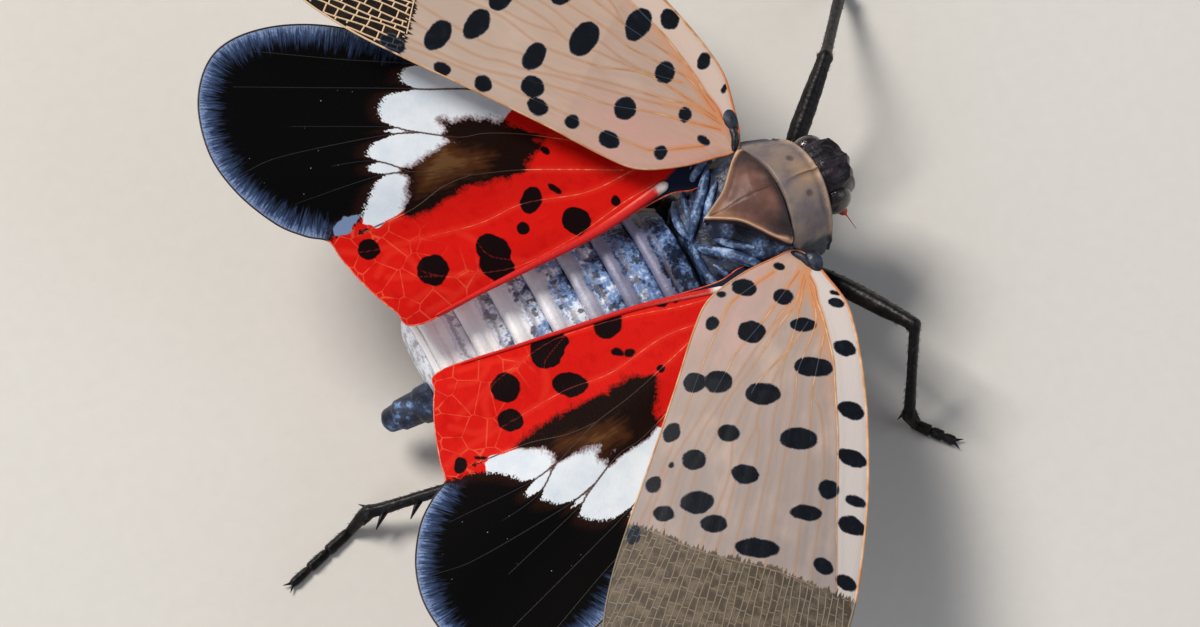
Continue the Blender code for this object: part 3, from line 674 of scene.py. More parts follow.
@dataclass(frozen=True)
class WaxyCuticle:
    """Waxy cuticle: blue-black chitin under a powder of pale blue wax that wear has broken up."""

    name: str
    ground: str = "#121a2c"
    tone: str = "#2c4168"
    wax: str = "#86a4d0"
    share: float = 0.5

    def material(self) -> Material:
        """Builds the material; a larger share starts the wax lower in the noise.

        Returns:
            The material.
        """
        coat = Coat(self.name)
        clouds, crumbs, fine = (coat.grain(size) for size in (0.8, 0.16, 0.05))
        powder = coat.sums((clouds, 0.6), (crumbs, 0.4))
        start = -0.2 * self.share
        colour = coat.layers(
            self.ground,
            (coat.mask(0.4, 0.7, clouds, top=0.8), self.tone),
            (coat.mask(0.62 + start, 0.8 + start, powder), self.wax),
            (coat.mask(0.74 + start, 0.9 + start, powder), "#dfe6ee"),
        )
        roughness = coat.mask(0.4, 0.65, powder, floor=0.28, top=0.75)
        return coat.shade(colour, roughness, coat.sums((crumbs, 0.8), (fine, 0.2)), 0.03, Specular_IOR_Level=0.5)


@dataclass(frozen=True)
class TergiteCuticle:
    """Abdomen: glossy blue-black plates whose rear edges carry bands of white wax."""

    name: str

    def material(self) -> Material:
        """Builds the material from the abdomen's marks.

        Returns:
            The material.
        """
        coat = Coat(self.name)
        clouds, crumbs, fine = (coat.grain(size) for size in (0.9, 0.14, 0.05))
        blots = coat.grain(0.42, detail=2.0)
        powder = coat.sums((clouds, 0.6), (crumbs, 0.4), ("rear", 0.40))
        edge = coat.sums("segment", (crumbs, 0.22), (clouds, 0.40), ("rear", 0.42))
        band = coat.mask(1.02, 1.14, edge)
        before_band = coat.mask(1.0, 0.92, edge)
        less_to_rear = coat.mask(1.0, 0.55, "rear", floor=0.45, top=0.8)
        colour = coat.layers(
            "#0f1830",
            (coat.mask(0.4, 0.7, clouds, top=0.8), "#29406c"),
            (coat.mask(0.48, 0.66, powder, top=0.85), "#7f9fd0"),
            (coat.mask(0.64, 0.76, powder, top=0.95), "#f1f5fb"),
            (coat.mask(0.54, 0.6, blots, within=less_to_rear), "#0a0f1e"),
            (band, "#7f7f98"),
            (coat.mask(0.48, 0.9, "rear", (clouds, 0.5), within=band), "#d2cfd8"),
            (coat.mask(0.35, 0.8, "rear", within=band), "#fbfbfa"),
            (coat.mask(0.8, 0.9, edge, top=0.6, within=before_band), "#6f6878"),
            (coat.mask(0.75, 0.95, "flank", top=0.5), "#3a2f2c"),
            (coat.mask(0.95, 1.15, "flank", (crumbs, 0.3), top=0.8, within=band), "#c39a3e"),
        )
        roughness = coat.layers(0.216, (coat.mask(0.5, 0.75, powder), 0.434), (band, 0.392))
        return coat.shade(colour, roughness, coat.sums((crumbs, 0.8), (fine, 0.3)), 0.04, Specular_IOR_Level=0.5)


@dataclass(frozen=True)
class EyeLens:
    """Compound eye: polished black-brown lens of tiny hexagonal facets."""

    name: str

    def material(self) -> Material:
        """Builds the material.

        Returns:
            The material.
        """
        coat = Coat(self.name)
        # Real facets are about 0.03 mm across; drawn at 0.06 mm so that they show
        facets = coat.add("ShaderNodeTexVoronoi", {"Vector": coat.where, "Scale": 1 / 0.06})
        domes = coat.mask(0.0, 0.7, facets, floor=1.0, top=0.0)
        colour = coat.layers("#0c0809", (coat.grain(0.8), "#2c1b1c"))
        return coat.shade(colour, 0.16, domes, 0.01, Coat_Weight=0.5, Coat_Roughness=0.1)


@dataclass(frozen=True)
class FeelerSkin:
    """Feeler knob: orange-red chitin covered in pale pits."""

    name: str

    def material(self) -> Material:
        """Builds the material.

        Returns:
            The material.
        """
        coat = Coat(self.name)
        # Pits are 0.09 mm apart
        pits = coat.add("ShaderNodeTexVoronoi", {"Vector": coat.where, "Scale": 1 / 0.09})
        colour = coat.layers("#d2401a", (coat.mask(0.25, 0.1, pits), "#f0a070"), (coat.grain(0.4), "#b02a12"))
        return coat.shade(colour, 0.45, pits, 0.02, Specular_IOR_Level=0.5)


@dataclass(frozen=True)
class StagePaper:
    """Floor: matt pale paper with a faint tooth."""

    name: str = "stage_paper"

    def material(self) -> Material:
        """Builds the material.

        Returns:
            The material.
        """
        coat = Coat(self.name)
        tooth = coat.grain(0.6)
        return coat.shade(coat.layers("#cfcbc4", (tooth, "#d6d2cb")), 0.9, tooth, 0.01)


# Meshes


def turn_outwards(made: Mesh) -> None:
    """Turns a closed mesh's faces outwards.

    Args:
        made: The mesh.
    """
    work = bmesh.new()
    work.from_mesh(made)
    bmesh.ops.recalc_face_normals(work, faces=work.faces)
    work.to_mesh(made)
    work.free()


def put(name: str, made: bpy.types.ID) -> Piece:
    """Puts a mesh, lamp or camera in the scene.

    Args:
        name: The object's name.
        made: Its data.

    Returns:
        The object, at the origin.
    """
    placed = bpy.data.objects.new(name, made)
    bpy.context.scene.collection.objects.link(placed)
    return placed


@dataclass
class Bench:
    """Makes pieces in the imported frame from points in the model's own millimetres.

    The model's own x runs to the head from the rear tip of the shield, y to the left and z up from the floor.
    """

    offset: Array
    tubes: "TubeTree | None" = None
    bristles: "BristleTree | None" = None

    def mesh(
        self, name: str, points: Array, faces: Sequence, material: Material,
        marks: dict[str, Array] | None = None, sharp: float = 60.0,
    ) -> Piece:
        """Makes one closed mesh piece.

        Args:
            name: The piece's name.
            points: Its points in millimetres.
            faces: Its faces as corner numbers.
            material: Its finish.
            marks: Numbers or vectors for each point that the finish reads.
            sharp: Edges that turn more than this many degrees stay crisp.

        Returns:
            The object, at the origin.
        """
        made = bpy.data.meshes.new(name)
        made.from_pydata(((np.asarray(points) + self.offset) * MM).tolist(), [], [tuple(f) for f in faces])
        self.keep_marks(made, marks)
        turn_outwards(made)
        made.materials.append(material)
        made.shade_smooth()
        made.set_sharp_from_angle(angle=math.radians(sharp))
        return put(name, made)

    @staticmethod
    def keep_marks(made: Mesh, marks: dict[str, Array] | None) -> None:
        """Stores numbers or vectors for each point.

        Args:
            made: The mesh.
            marks: The values by name.
        """
        for name, values in (marks or {}).items():
            values = np.asarray(values, np.float32)
            kind = "FLOAT_VECTOR" if values.ndim == 2 else "FLOAT"
            stored = made.attributes.new(name, kind, "POINT")
            stored.data.foreach_set("vector" if values.ndim == 2 else "value", values.ravel())

    def along_paths(
        self, name: str, paths: Sequence[Array], radii: Sequence[Array], material: Material,
        marks: dict[str, Array] | None = None, sides: int = 6, closed: Sequence[bool] | None = None,
    ) -> Piece:
        """Makes round rods along paths with the tube tree.

        Args:
            name: The piece's name.
            paths: Points of each path in millimetres.
            radii: Radius at each point in millimetres.
            material: The rods' finish.
            marks: Numbers for all points in order, that the finish reads.
            sides: Sides of each rod.
            closed: Which paths return to their start.

        Returns:
            The object, a plain mesh.
        """
        edges = []
        first = 0
        for k, path in enumerate(paths):
            edges += [(first + n, first + n + 1) for n in range(len(path) - 1)]
            if closed and closed[k]:
                edges.append((first + len(path) - 1, first))
            first += len(path)
        start = bpy.data.meshes.new(f"{name}_paths")
        start.from_pydata(((np.vstack(paths) + self.offset) * MM).tolist(), edges, [])
        self.keep_marks(start, {**(marks or {}), "thick": np.concatenate(radii) * MM})
        return self.tubes.grow(name, start, {"Sides": sides, "Finish": material})

    def scatter(
        self, name: str, roots: Array, ways: Array, sizes: Array, material: Material,
        width: float = 0.08, sides: int = 4,
    ) -> Piece:
        """Makes tapered bristles with the bristle tree.

        Args:
            name: The piece's name.
            roots: Where each bristle starts, in millimetres.
            ways: Which way each points.
            sizes: Each bristle's length in millimetres.
            material: Their finish.
            width: Root width as a share of the length.
            sides: Sides of each bristle.

        Returns:
            The object, a plain mesh.
        """
        start = bpy.data.meshes.new(f"{name}_roots")
        start.from_pydata(((roots + self.offset) * MM).tolist(), [], [])
        self.keep_marks(start, {"way": ways, "size": sizes * MM})
        return self.bristles.grow(name, start, {"Width": width, "Sides": sides, "Finish": material})


@dataclass
class Assembly:
    """One sub-assembly, which builds its pieces and dresses its CAD nodes with them."""

    SLOTS: ClassVar[tuple[str, ...]]
    bench: Bench

    def nodes(self) -> tuple[str, ...]:
        """The CAD nodes that the first pieces stand for, in order."""
        raise NotImplementedError

    def dress(self, pieces: list[Piece]) -> None:
        """Puts the pieces in the place of their nodes.

        Args:
            pieces: What build has made.
        """
        for piece, node in zip(pieces, self.nodes()):
            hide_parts(node)
        for k, piece in enumerate(pieces):
            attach(piece, "root")


class GrownTree:
    """A Geometry Nodes tree that grows plain meshes from starting meshes."""

    def __init__(self, name: str, sockets: dict[str, str]) -> None:
        """Starts the tree with its named inputs.

        Args:
            name: The tree's name.
            sockets: Each input's name and socket type, after the geometry.
        """
        self.tree = bpy.data.node_groups.new(name, "GeometryNodeTree")
        face = self.tree.interface
        face.new_socket("Start", in_out="INPUT", socket_type="NodeSocketGeometry")
        self.keys = {
            label: face.new_socket(label, in_out="INPUT", socket_type=kind).identifier
            for label, kind in sockets.items()
        }
        face.new_socket("Grown", in_out="OUTPUT", socket_type="NodeSocketGeometry")
        self.inputs = self.tree.nodes.new("NodeGroupInput").outputs
        self.finish_tree(self.build())

    def add(self, kind: str, inputs: dict | None = None, out: int | str = 0, **settings) -> Socket | bpy.types.Node:
        """Adds a node to this tree, as add_node does."""
        return add_node(self.tree, kind, inputs, out, **settings)

    def build(self) -> Socket:
        """Builds the tree's own nodes and returns the geometry."""
        raise NotImplementedError

    def finish_tree(self, geometry: Socket) -> None:
        """Ends the tree in plain, dressed geometry."""
        real = self.add("GeometryNodeRealizeInstances", {"Geometry": geometry})
        dressed = self.add("GeometryNodeSetMaterial", {"Geometry": real, "Material": self.inputs["Finish"]})
        self.add("NodeGroupOutput", {"Grown": dressed})

    def grow(self, name: str, start: Mesh, values: dict) -> Piece:
        """Runs the tree once.

        Args:
            name: The new piece's name.
            start: The mesh that it grows from.
            values: The tree's inputs by name.

        Returns:
            The grown object as a plain mesh, with its faces turned outwards.
        """
        seedling = put(f"{name}_start", start)
        modifier = seedling.modifiers.new("grow", "NODES")
        modifier.node_group = self.tree
        for label, value in values.items():
            modifier[self.keys[label]] = value
        bpy.context.view_layer.update()
        graph = bpy.context.evaluated_depsgraph_get()
        made = bpy.data.meshes.new_from_object(seedling.evaluated_get(graph))
        seedling.modifiers.clear()
        bpy.data.objects.remove(seedling)
        bpy.data.meshes.remove(start)
        made.name = name
        turn_outwards(made)
        made.shade_smooth()
        if not made.materials:
            made.materials.append(values["Finish"])
        return put(name, made)


class TubeTree(GrownTree):
    """Rods along edge paths, each as thick as its points say."""

    def __init__(self) -> None:
        """Builds the tree."""
        super().__init__("rods_along_paths", {"Sides": "NodeSocketInt", "Finish": "NodeSocketMaterial"})

    def build(self) -> Socket:
        """Turns mesh edges into curves, and those into capped tubes.

        Returns:
            The tubes.
        """
        curve = self.add("GeometryNodeMeshToCurve", {"Mesh": self.inputs["Start"]})
        radius = self.add("GeometryNodeInputNamedAttribute", {"Name": "thick"}, data_type="FLOAT")
        ring = self.add("GeometryNodeCurvePrimitiveCircle", {"Resolution": self.inputs["Sides"], "Radius": 1.0})
        return self.add(
            "GeometryNodeCurveToMesh", {"Curve": curve, "Profile Curve": ring, "Scale": radius, "Fill Caps": True}
        )


class BristleTree(GrownTree):
    """Tapered bristles on points, each turned along its own way and as long as its point says."""

    TIP_SHARE: ClassVar[float] = 0.12

    def __init__(self) -> None:
        """Builds the tree."""
        sockets = {"Width": "NodeSocketFloat", "Sides": "NodeSocketInt", "Finish": "NodeSocketMaterial"}
        super().__init__("bristles_on_points", sockets)

    def build(self) -> Socket:
        """Sets a unit cone on every point.

        Returns:
            The bristles.
        """
        wide, sides = self.inputs["Width"], self.inputs["Sides"]
        thin = self.add("ShaderNodeMath", {0: wide, 1: self.TIP_SHARE}, operation="MULTIPLY")
        shape = {"Vertices": sides, "Radius Top": thin, "Radius Bottom": wide, "Depth": 1.0}
        cone = self.add("GeometryNodeMeshCone", shape)
        way = self.add("GeometryNodeInputNamedAttribute", {"Name": "way"}, data_type="FLOAT_VECTOR")
        size = self.add("GeometryNodeInputNamedAttribute", {"Name": "size"}, data_type="FLOAT")
        turn = self.add("FunctionNodeAlignRotationToVector", {"Vector": way}, axis="Z")
        return self.add(
            "GeometryNodeInstanceOnPoints",
            {"Points": self.inputs["Start"], "Instance": cone, "Rotation": turn, "Scale": size},
        )


def unit(rows: Array) -> Array:
    """Vectors in rows, or one vector, brought to length 1."""
    return rows / np.linalg.norm(rows, axis=-1, keepdims=True)


def bump(value: Array, width: float, place: float = 0.0) -> Array:
    """A smooth ridge of height 1 and this half width where a value passes a place."""
    return np.exp(-(((value - place) / width) ** 2))


def ring_faces(rows: int, columns: int, closed: bool = True, caps: bool = True) -> list[tuple[int, ...]]:
    """Faces through rows of points.

    Args:
        rows: Number of rings.
        columns: Points in each ring.
        closed: Whether each row closes on itself.
        caps: Whether both ends are closed with one face each.

    Returns:
        The faces as corner numbers.
    """
    faces = []
    for row in range(rows - 1):
        for k in range(columns if closed else columns - 1):
            a, b = row * columns + k, row * columns + (k + 1) % columns
            faces.append((a, b, b + columns, a + columns))
    if caps:
        faces.append(tuple(range(columns)))
        faces.append(tuple((rows - 1) * columns + k for k in range(columns)))
    return faces


def tube_rings(path: Array, radii: Array, sides: int, squash: float = 1.0) -> Array:
    """Rings of points round a path.

    Args:
        path: The middle of each ring.
        radii: Their half widths.
        sides: Points in each ring.
        squash: Their height as a share of their width.

    Returns:
        The rings, by ring, point and axis.
    """
    ahead = unit(np.gradient(path, axis=0))
    side = np.cross(ahead[0], (0.0, 0.0, 1.0))
    if np.linalg.norm(side) < 0.1:
        side = np.cross(ahead[0], (0.0, 1.0, 0.0))
    rings = []
    turn = 2 * np.pi * (np.arange(sides) + 0.5) / sides
    for centre, way, radius in zip(path, ahead, radii):
        side = unit(side - way * (side @ way))
        up = np.cross(side, way)
        rings.append(centre + (np.cos(turn)[:, None] * side + squash * np.sin(turn)[:, None] * up) * radius)
    return np.array(rings)


def double_skin(faces: Sequence[Sequence[int]], count: int) -> list[tuple[int, ...]]:
    """Closes a skin into a plate.

    Args:
        faces: The skin's faces.
        count: Number of its points; the lower copy's points come after them.

    Returns:
        The faces of both copies and of the wall between their edges.
    """
    walls: dict[tuple[int, int], bool] = {}
    for face in faces:
        for k in range(len(face)):
            a, b = face[k], face[(k + 1) % len(face)]
            if (b, a) in walls:
                del walls[(b, a)]
            else:
                walls[(a, b)] = True
    below = [tuple(count + k for k in reversed(face)) for face in faces]
    return [tuple(face) for face in faces] + below + [(b, a, count + a, count + b) for a, b in walls]


def fill_outline(outline: Array, spacing: float) -> tuple[Array, list[list[int]]]:
    """Triangulates the inside of a loop.

    Args:
        outline: The loop's corners.
        spacing: Distance between inner points.

    Returns:
        The points and the triangles.
    """
    low, high = outline.min(axis=0), outline.max(axis=0)
    rise = spacing * math.sqrt(3) / 2
    rows = np.arange(low[1], high[1], rise)
    columns = np.arange(low[0], high[0], spacing)
    x, y = np.meshgrid(columns, rows)
    x = x + (np.arange(len(rows)) % 2)[:, None] * spacing / 2
    inner = np.column_stack([x.ravel(), y.ravel()])
    inner = inner[depth_inside(inner, outline) > spacing * 0.55]
    corners = [Vector(p) for p in np.vstack([outline, inner]).tolist()]
    count = len(outline)
    edges = [(k, (k + 1) % count) for k in range(count)]
    found, _, faces, *_ = delaunay_2d_cdt(corners, edges, [], 1, 1e-6)
    return np.array([tuple(p) for p in found]), faces


# Wings


@dataclass(frozen=True)
class Spot:
    """A spot on a wing: its centre, width along u, height along v, and lean of its top to the root in degrees."""

    u: float
    v: float
    width: float
    height: float
    lean: float = 0.0

    def depth(self, flat: Array) -> Array:
        """Measures how far inside the spot points lie.

        Args:
            flat: Points in the wing's plane.

        Returns:
            Their depths in millimetres.
        """
        lean = math.radians(self.lean)
        du, dv = flat[:, 0] - self.u, flat[:, 1] - self.v
        a = (du * math.cos(lean) + dv * math.sin(lean)) / (self.width / 2)
        b = (-du * math.sin(lean) + dv * math.cos(lean)) / (self.height / 2)
        reach = np.hypot(a, b) + 1e-6
        slope = np.hypot(a / (self.width / 2), b / (self.height / 2)) + 2e-6 / (self.width + self.height)
        return (1 - reach) * reach / slope


def spots(*rows: tuple[float, ...]) -> tuple[Spot, ...]:
    """Spots from rows of their centre, width, height and lean."""
    return tuple(Spot(*row) for row in rows)


@dataclass(frozen=True)
class WingPlane:
    """The plane of one wing: its hinge, its turn from straight out, and its camber."""

    side: Side
    hinge: tuple[float, float, float]
    turn: tuple[float, float, float]
    camber: float = 0.0
    chord: float = 9.0
    camber_grows_over: float = 6.0

    def at(self, flat: Array, lift: Array | float = 0.0) -> Array:
        """Brings points of the wing into space.

        Args:
            flat: Their u and v.
            lift: Their height above the wing's middle surface.

        Returns:
            The points.
        """
        sweep, rise, pitch = (math.radians(angle) for angle in self.turn)
        out = np.array((-math.sin(sweep) * math.cos(rise), math.cos(sweep) * math.cos(rise), math.sin(rise)))
        level = np.array((math.cos(sweep), math.sin(sweep), 0.0))
        upright = np.cross(level, out)
        forward = level * math.cos(pitch) + upright * math.sin(pitch)
        normal = upright * math.cos(pitch) - level * math.sin(pitch)
        u, v = flat[:, 0], flat[:, 1]
        arch = self.camber * (1 - (2 * v / self.chord) ** 2) * np.clip(u / self.camber_grows_over, 0, 1)
        points = np.array(self.hinge) + u[:, None] * out + v[:, None] * forward + (arch + lift)[:, None] * normal
        points[:, 1] *= self.side.value
        return points


@dataclass
class Wing(Assembly):
    """What both pairs of wings share: an outline, spots, veins and a membrane."""

    plane: WingPlane
    outline: Path2D
    spots: Sequence[Spot]
    veins: Sequence[tuple[float, Path2D]]
    half_thickness: float = 0.03
    spacing: float = 0.085
    rim_radius: float = 0.05
    thin_rim: float = 0.15
    loop: Array = field(init=False)

    def __post_init__(self) -> None:
        """Samples the outline finely."""
        self.loop = smooth_path(self.outline, 0.14, closed=True)

    def marks(self, flat: Array) -> dict[str, Array]:
        """Works out the numbers that the finishes read.

        Args:
            flat: Points in the wing's plane.

        Returns:
            The numbers by name.
        """
        rim, run = distance_to_path(flat, self.loop, closed=True)
        vein = self.to_veins(flat, 0.25)
        spot = np.max([np.full(len(flat), -FAR), *(mark.depth(flat) for mark in self.spots)], axis=0)
        place = np.column_stack([flat, np.zeros(len(flat))])
        return {"place": place, "rim": rim, "run": run, "vein": vein, "spot": spot}

    def to_veins(self, flat: Array, step: float) -> Array:
        """Measures how far points are from the nearest vein.

        Args:
            flat: Points in the wing's plane.
            step: Spacing of the samples along the veins.

        Returns:
            The distances, no more than FAR.
        """
        apart = (distance_to_path(flat, smooth_path(path, step))[0] for _, path in self.veins)
        return np.min([np.full(len(flat), FAR), *apart], axis=0)

    def wave(self, flat: Array) -> Array:
        """How far the membrane stands off its plane."""
        return np.zeros(len(flat))

    def membrane(self, name: str, material: Material) -> Piece:
        """Builds the membrane as two skins.

        Args:
            name: The piece's name.
            material: Its finish.

        Returns:
            The membrane.
        """
        flat, faces = fill_outline(self.loop, self.spacing)
        marks = self.marks(flat)
        half = self.half_thickness * np.clip(marks["rim"] / self.thin_rim, 0.35, 1.0)
        if "net" in marks:
            half *= np.where(marks["net"] > 0, 0.4, 1.0)
        wave = self.wave(flat)
        points = np.vstack([self.plane.at(flat, wave + half), self.plane.at(flat, wave - half)])
        both = {key: np.concatenate([values, values]) for key, values in marks.items()}
        return self.bench.mesh(name, points, double_skin(faces, len(flat)), material, both)

    def rods(
        self, name: str, paths: Sequence[Array], radii: Sequence[Array], material: Material,
        closed: Sequence[bool] | None = None, sides: int = 6,
    ) -> Piece:
        """Builds veins along paths in the wing's plane.

        Args:
            name: The piece's name.
            paths: Points of each vein.
            radii: Radius at each point.
            material: The veins' finish.
            closed: Which veins return to their start.
            sides: Sides of each vein.

        Returns:
            The veins as one piece.
        """
        flat = np.vstack(paths)
        marks = self.marks(flat)
        points = self.plane.at(flat, self.wave(flat))
        cuts = np.cumsum([len(path) for path in paths])[:-1]
        return self.bench.along_paths(name, np.split(points, cuts), radii, material, marks, sides, closed)

    def main_veins(self, name: str, material: Material, rim: Array) -> Piece:
        """Builds the main veins, each thinning to its end, and the rim.

        Args:
            name: The piece's name.
            material: The veins' finish.
            rim: The rim's radius at each point of the loop.

        Returns:
            The veins as one piece.
        """
        paths = [smooth_path(path, 0.12) for _, path in self.veins]
        radii = [radius * np.linspace(1.0, 0.6, len(line)) for (radius, _), line in zip(self.veins, paths)]
        closed = [False] * len(paths) + [True]
        return self.rods(name, [*paths, self.loop], [*radii, rim], material, closed)


FOREWING_OUTLINE = (
    (-0.35, -0.35), (-0.05, 0.15), (0.45, 0.75), (1.3, 1.66), (2.4, 2.28), (4.0, 2.95), (6.0, 3.62),
    (8.5, 4.28), (11.0, 4.72), (13.5, 4.95), (16.0, 4.78), (18.2, 3.95), (19.7, 2.45), (20.3, 0.6),
    (20.0, -1.1), (18.8, -2.6), (17.0, -3.45), (14.8, -3.72), (12.5, -3.7), (9.5, -3.56),
    (6.5, -3.46), (4.0, -3.42), (2.6, -3.2), (1.2, -2.3), (0.2, -1.35), (-0.3, -0.85),
)
HINDWING_OUTLINE = (
    (-0.9, 0.45), (1.0, 0.75), (3.5, 0.45), (6.5, -0.45), (9.5, -1.6), (12.0, -2.72), (14.0, -3.6),
    (15.6, -4.8), (16.65, -6.2), (16.85, -7.5), (16.2, -9.0), (14.8, -10.35), (13.2, -10.95),
    (11.4, -11.02), (10.2, -10.72), (9.38, -10.35), (8.6, -10.62), (7.2, -11.0), (5.9, -11.15),
    (4.85, -10.95), (2.9, -7.0), (1.2, -3.6), (0.1, -1.3), (-0.6, -0.5),
)
# The rim of the pale strip along the leading edge of a forewing
STRIP_RIM = (
    (0.6, 0.1), (1.0, 0.4), (1.6, 0.65), (2.2, 1.0), (3.0, 1.4), (4.0, 1.85), (5.0, 2.15), (6.0, 2.45), (7.0, 2.75),
    (8.0, 3.0), (10.0, 3.45), (12.0, 3.95), (13.0, 4.2),
)
FOREWING_VEINS = (
    (0.055, STRIP_RIM),
    (0.04, ((3.0, 1.25), (5.5, 1.4), (6.0, 1.5), (7.0, 1.7), (8.0, 1.9), (10.0, 2.2), (13.0, 2.6))),
    (0.036, ((5.6, 1.45), (6.6, 2.05), (9.0, 2.7), (13.0, 3.25))),
    (0.042, ((1.0, 0.2), (2.4, 0.8), (4.0, 0.75), (5.0, 0.7), (6.0, 0.88), (8.0, 1.05), (10.5, 1.3), (13.0, 1.5))),
    (0.036, ((2.6, 0.55), (4.0, 0.2), (5.0, 0.15), (6.0, 0.3), (7.2, 0.35), (8.5, 0.6), (11.0, 0.75), (13.0, 0.9))),
    (0.036, ((3.6, 0.2), (5.0, 0.0), (6.0, -0.1), (7.2, -0.25), (8.2, 0.05), (10.5, 0.2), (13.0, 0.3))),
    (0.034, ((7.2, -0.25), (7.7, -0.2), (8.5, -0.35), (9.2, -0.4), (11.0, -0.35), (13.0, -0.35))),
    (0.042, (
        (0.8, 0.0), (3.0, 0.15), (4.0, 0.1), (4.6, -0.1), (5.3, -0.4), (6.0, -0.65), (8.0, -0.9), (10.0, -0.65),
        (13.0, -0.95),
    )),
    (0.04, (
        (0.6, -0.1), (2.0, -0.1), (3.0, -0.4), (5.0, -0.9), (7.0, -1.5), (8.5, -1.55), (10.0, -1.85),
        (13.0, -1.7),
    )),
    (0.036, (
        (2.0, -0.3), (3.2, -0.7), (5.0, -1.2), (7.0, -1.7), (8.0, -2.0), (9.0, -2.15), (10.0, -2.4),
        (12.9, -2.4),
    )),
    (0.042, (
        (0.5, -0.3), (2.2, -0.8), (3.2, -1.1), (4.7, -1.65), (6.0, -1.9), (8.0, -2.35), (10.0, -2.85),
        (12.7, -3.05),
    )),
    (0.042, (
        (0.8, -1.2), (2.4, -2.3), (3.2, -2.5), (5.0, -2.7), (7.5, -2.85), (9.0, -2.95), (11.0, -3.15),
        (12.7, -3.35),
    )),
)
NET_START = ((13.15, 5.5), (13.1, 3.5), (13.0, 2.0), (13.1, 0.0), (12.95, -1.5), (12.6, -2.9), (12.5, -5.0))
LEFT_FOREWING_SPOTS = spots(
    (0.9, -1.0, 0.5, 0.3), (1.05, 1.2, 0.2, 0.4), (2.2, 1.75, 0.45, 0.7), (4.05, 2.55, 0.75, 0.85),
    (5.9, 2.95, 0.75, 0.95), (7.65, 3.45, 0.65, 1.1), (9.25, 4.0, 0.42, 0.75), (10.6, 4.1, 0.7, 1.0),
    (12.4, 4.4, 0.6, 0.8), (5.05, 1.7, 0.9, 1.45, 6), (8.1, 1.5, 0.85, 1.4, 11), (9.4, 3.0, 0.75, 0.75),
    (11.2, 2.3, 0.7, 1.2, 11), (12.3, 3.5, 0.6, 0.75), (3.35, 0.55, 0.75, 0.9, 1), (1.95, -0.5, 0.5, 0.55),
    (6.65, 0.1, 0.95, 1.45, 6), (10.1, 0.05, 0.8, 1.2, 6), (12.35, 1.0, 0.75, 1.5, 11), (4.1, -1.45, 0.8, 0.85),
    (8.0, -1.4, 0.75, 1.15, 6), (10.45, -1.35, 0.8, 1.3, 11), (2.15, -2.25, 0.5, 0.55), (4.1, -2.8, 0.85, 0.6),
    (5.65, -2.9, 0.55, 0.5), (7.55, -2.45, 0.85, 0.75), (7.05, -3.02, 0.8, 0.6), (9.25, -3.2, 0.65, 0.55),
    (10.85, -3.4, 0.65, 0.42), (11.55, -2.4, 0.8, 1.25, 11), (12.9, -3.45, 1.0, 0.6),
)
RIGHT_FOREWING_SPOTS = spots(
    (1.05, 1.2, 0.2, 0.4), (1.45, 1.35, 0.4, 0.6), (3.3, 2.1, 0.65, 0.85), (2.8, 0.4, 0.6, 0.95, 20),
    (4.5, 1.2, 0.85, 1.4, 15), (1.8, -0.6, 0.7, 0.7), (3.65, -1.35, 1.0, 1.0), (1.8, -2.1, 0.75, 0.9),
    (2.3, -2.85, 0.28, 0.35), (3.65, -2.85, 0.6, 0.5), (0.5, -1.05, 0.3, 0.4), (5.8, 2.95, 0.75, 0.95),
    (7.65, 3.45, 0.65, 1.1), (9.25, 4.0, 0.42, 0.75), (10.25, 4.1, 0.7, 1.0), (12.5, 4.45, 0.55, 0.8),
    (9.2, 2.95, 0.75, 0.75), (12.2, 3.5, 0.6, 0.75), (7.6, 1.4, 0.85, 1.4, 20), (10.4, 2.4, 0.6, 1.15, 20),
    (12.35, 1.05, 0.75, 1.6, 15), (6.2, -0.3, 0.9, 1.25, 15), (9.6, -0.1, 0.75, 1.0), (8.1, -1.1, 0.7, 0.8, 15),
    (11.85, -0.7, 0.7, 0.95, 20), (11.15, -1.5, 0.9, 1.2, 20), (6.1, -2.0, 0.95, 1.0), (6.3, -2.85, 0.85, 0.8),
    (9.45, -2.05, 0.8, 0.85), (9.85, -2.8, 0.25, 0.15), (8.5, -3.12, 0.8, 0.6), (10.75, -3.22, 0.7, 0.55),
    (11.85, -2.55, 0.65, 0.75), (12.9, -3.4, 0.8, 0.5),
)


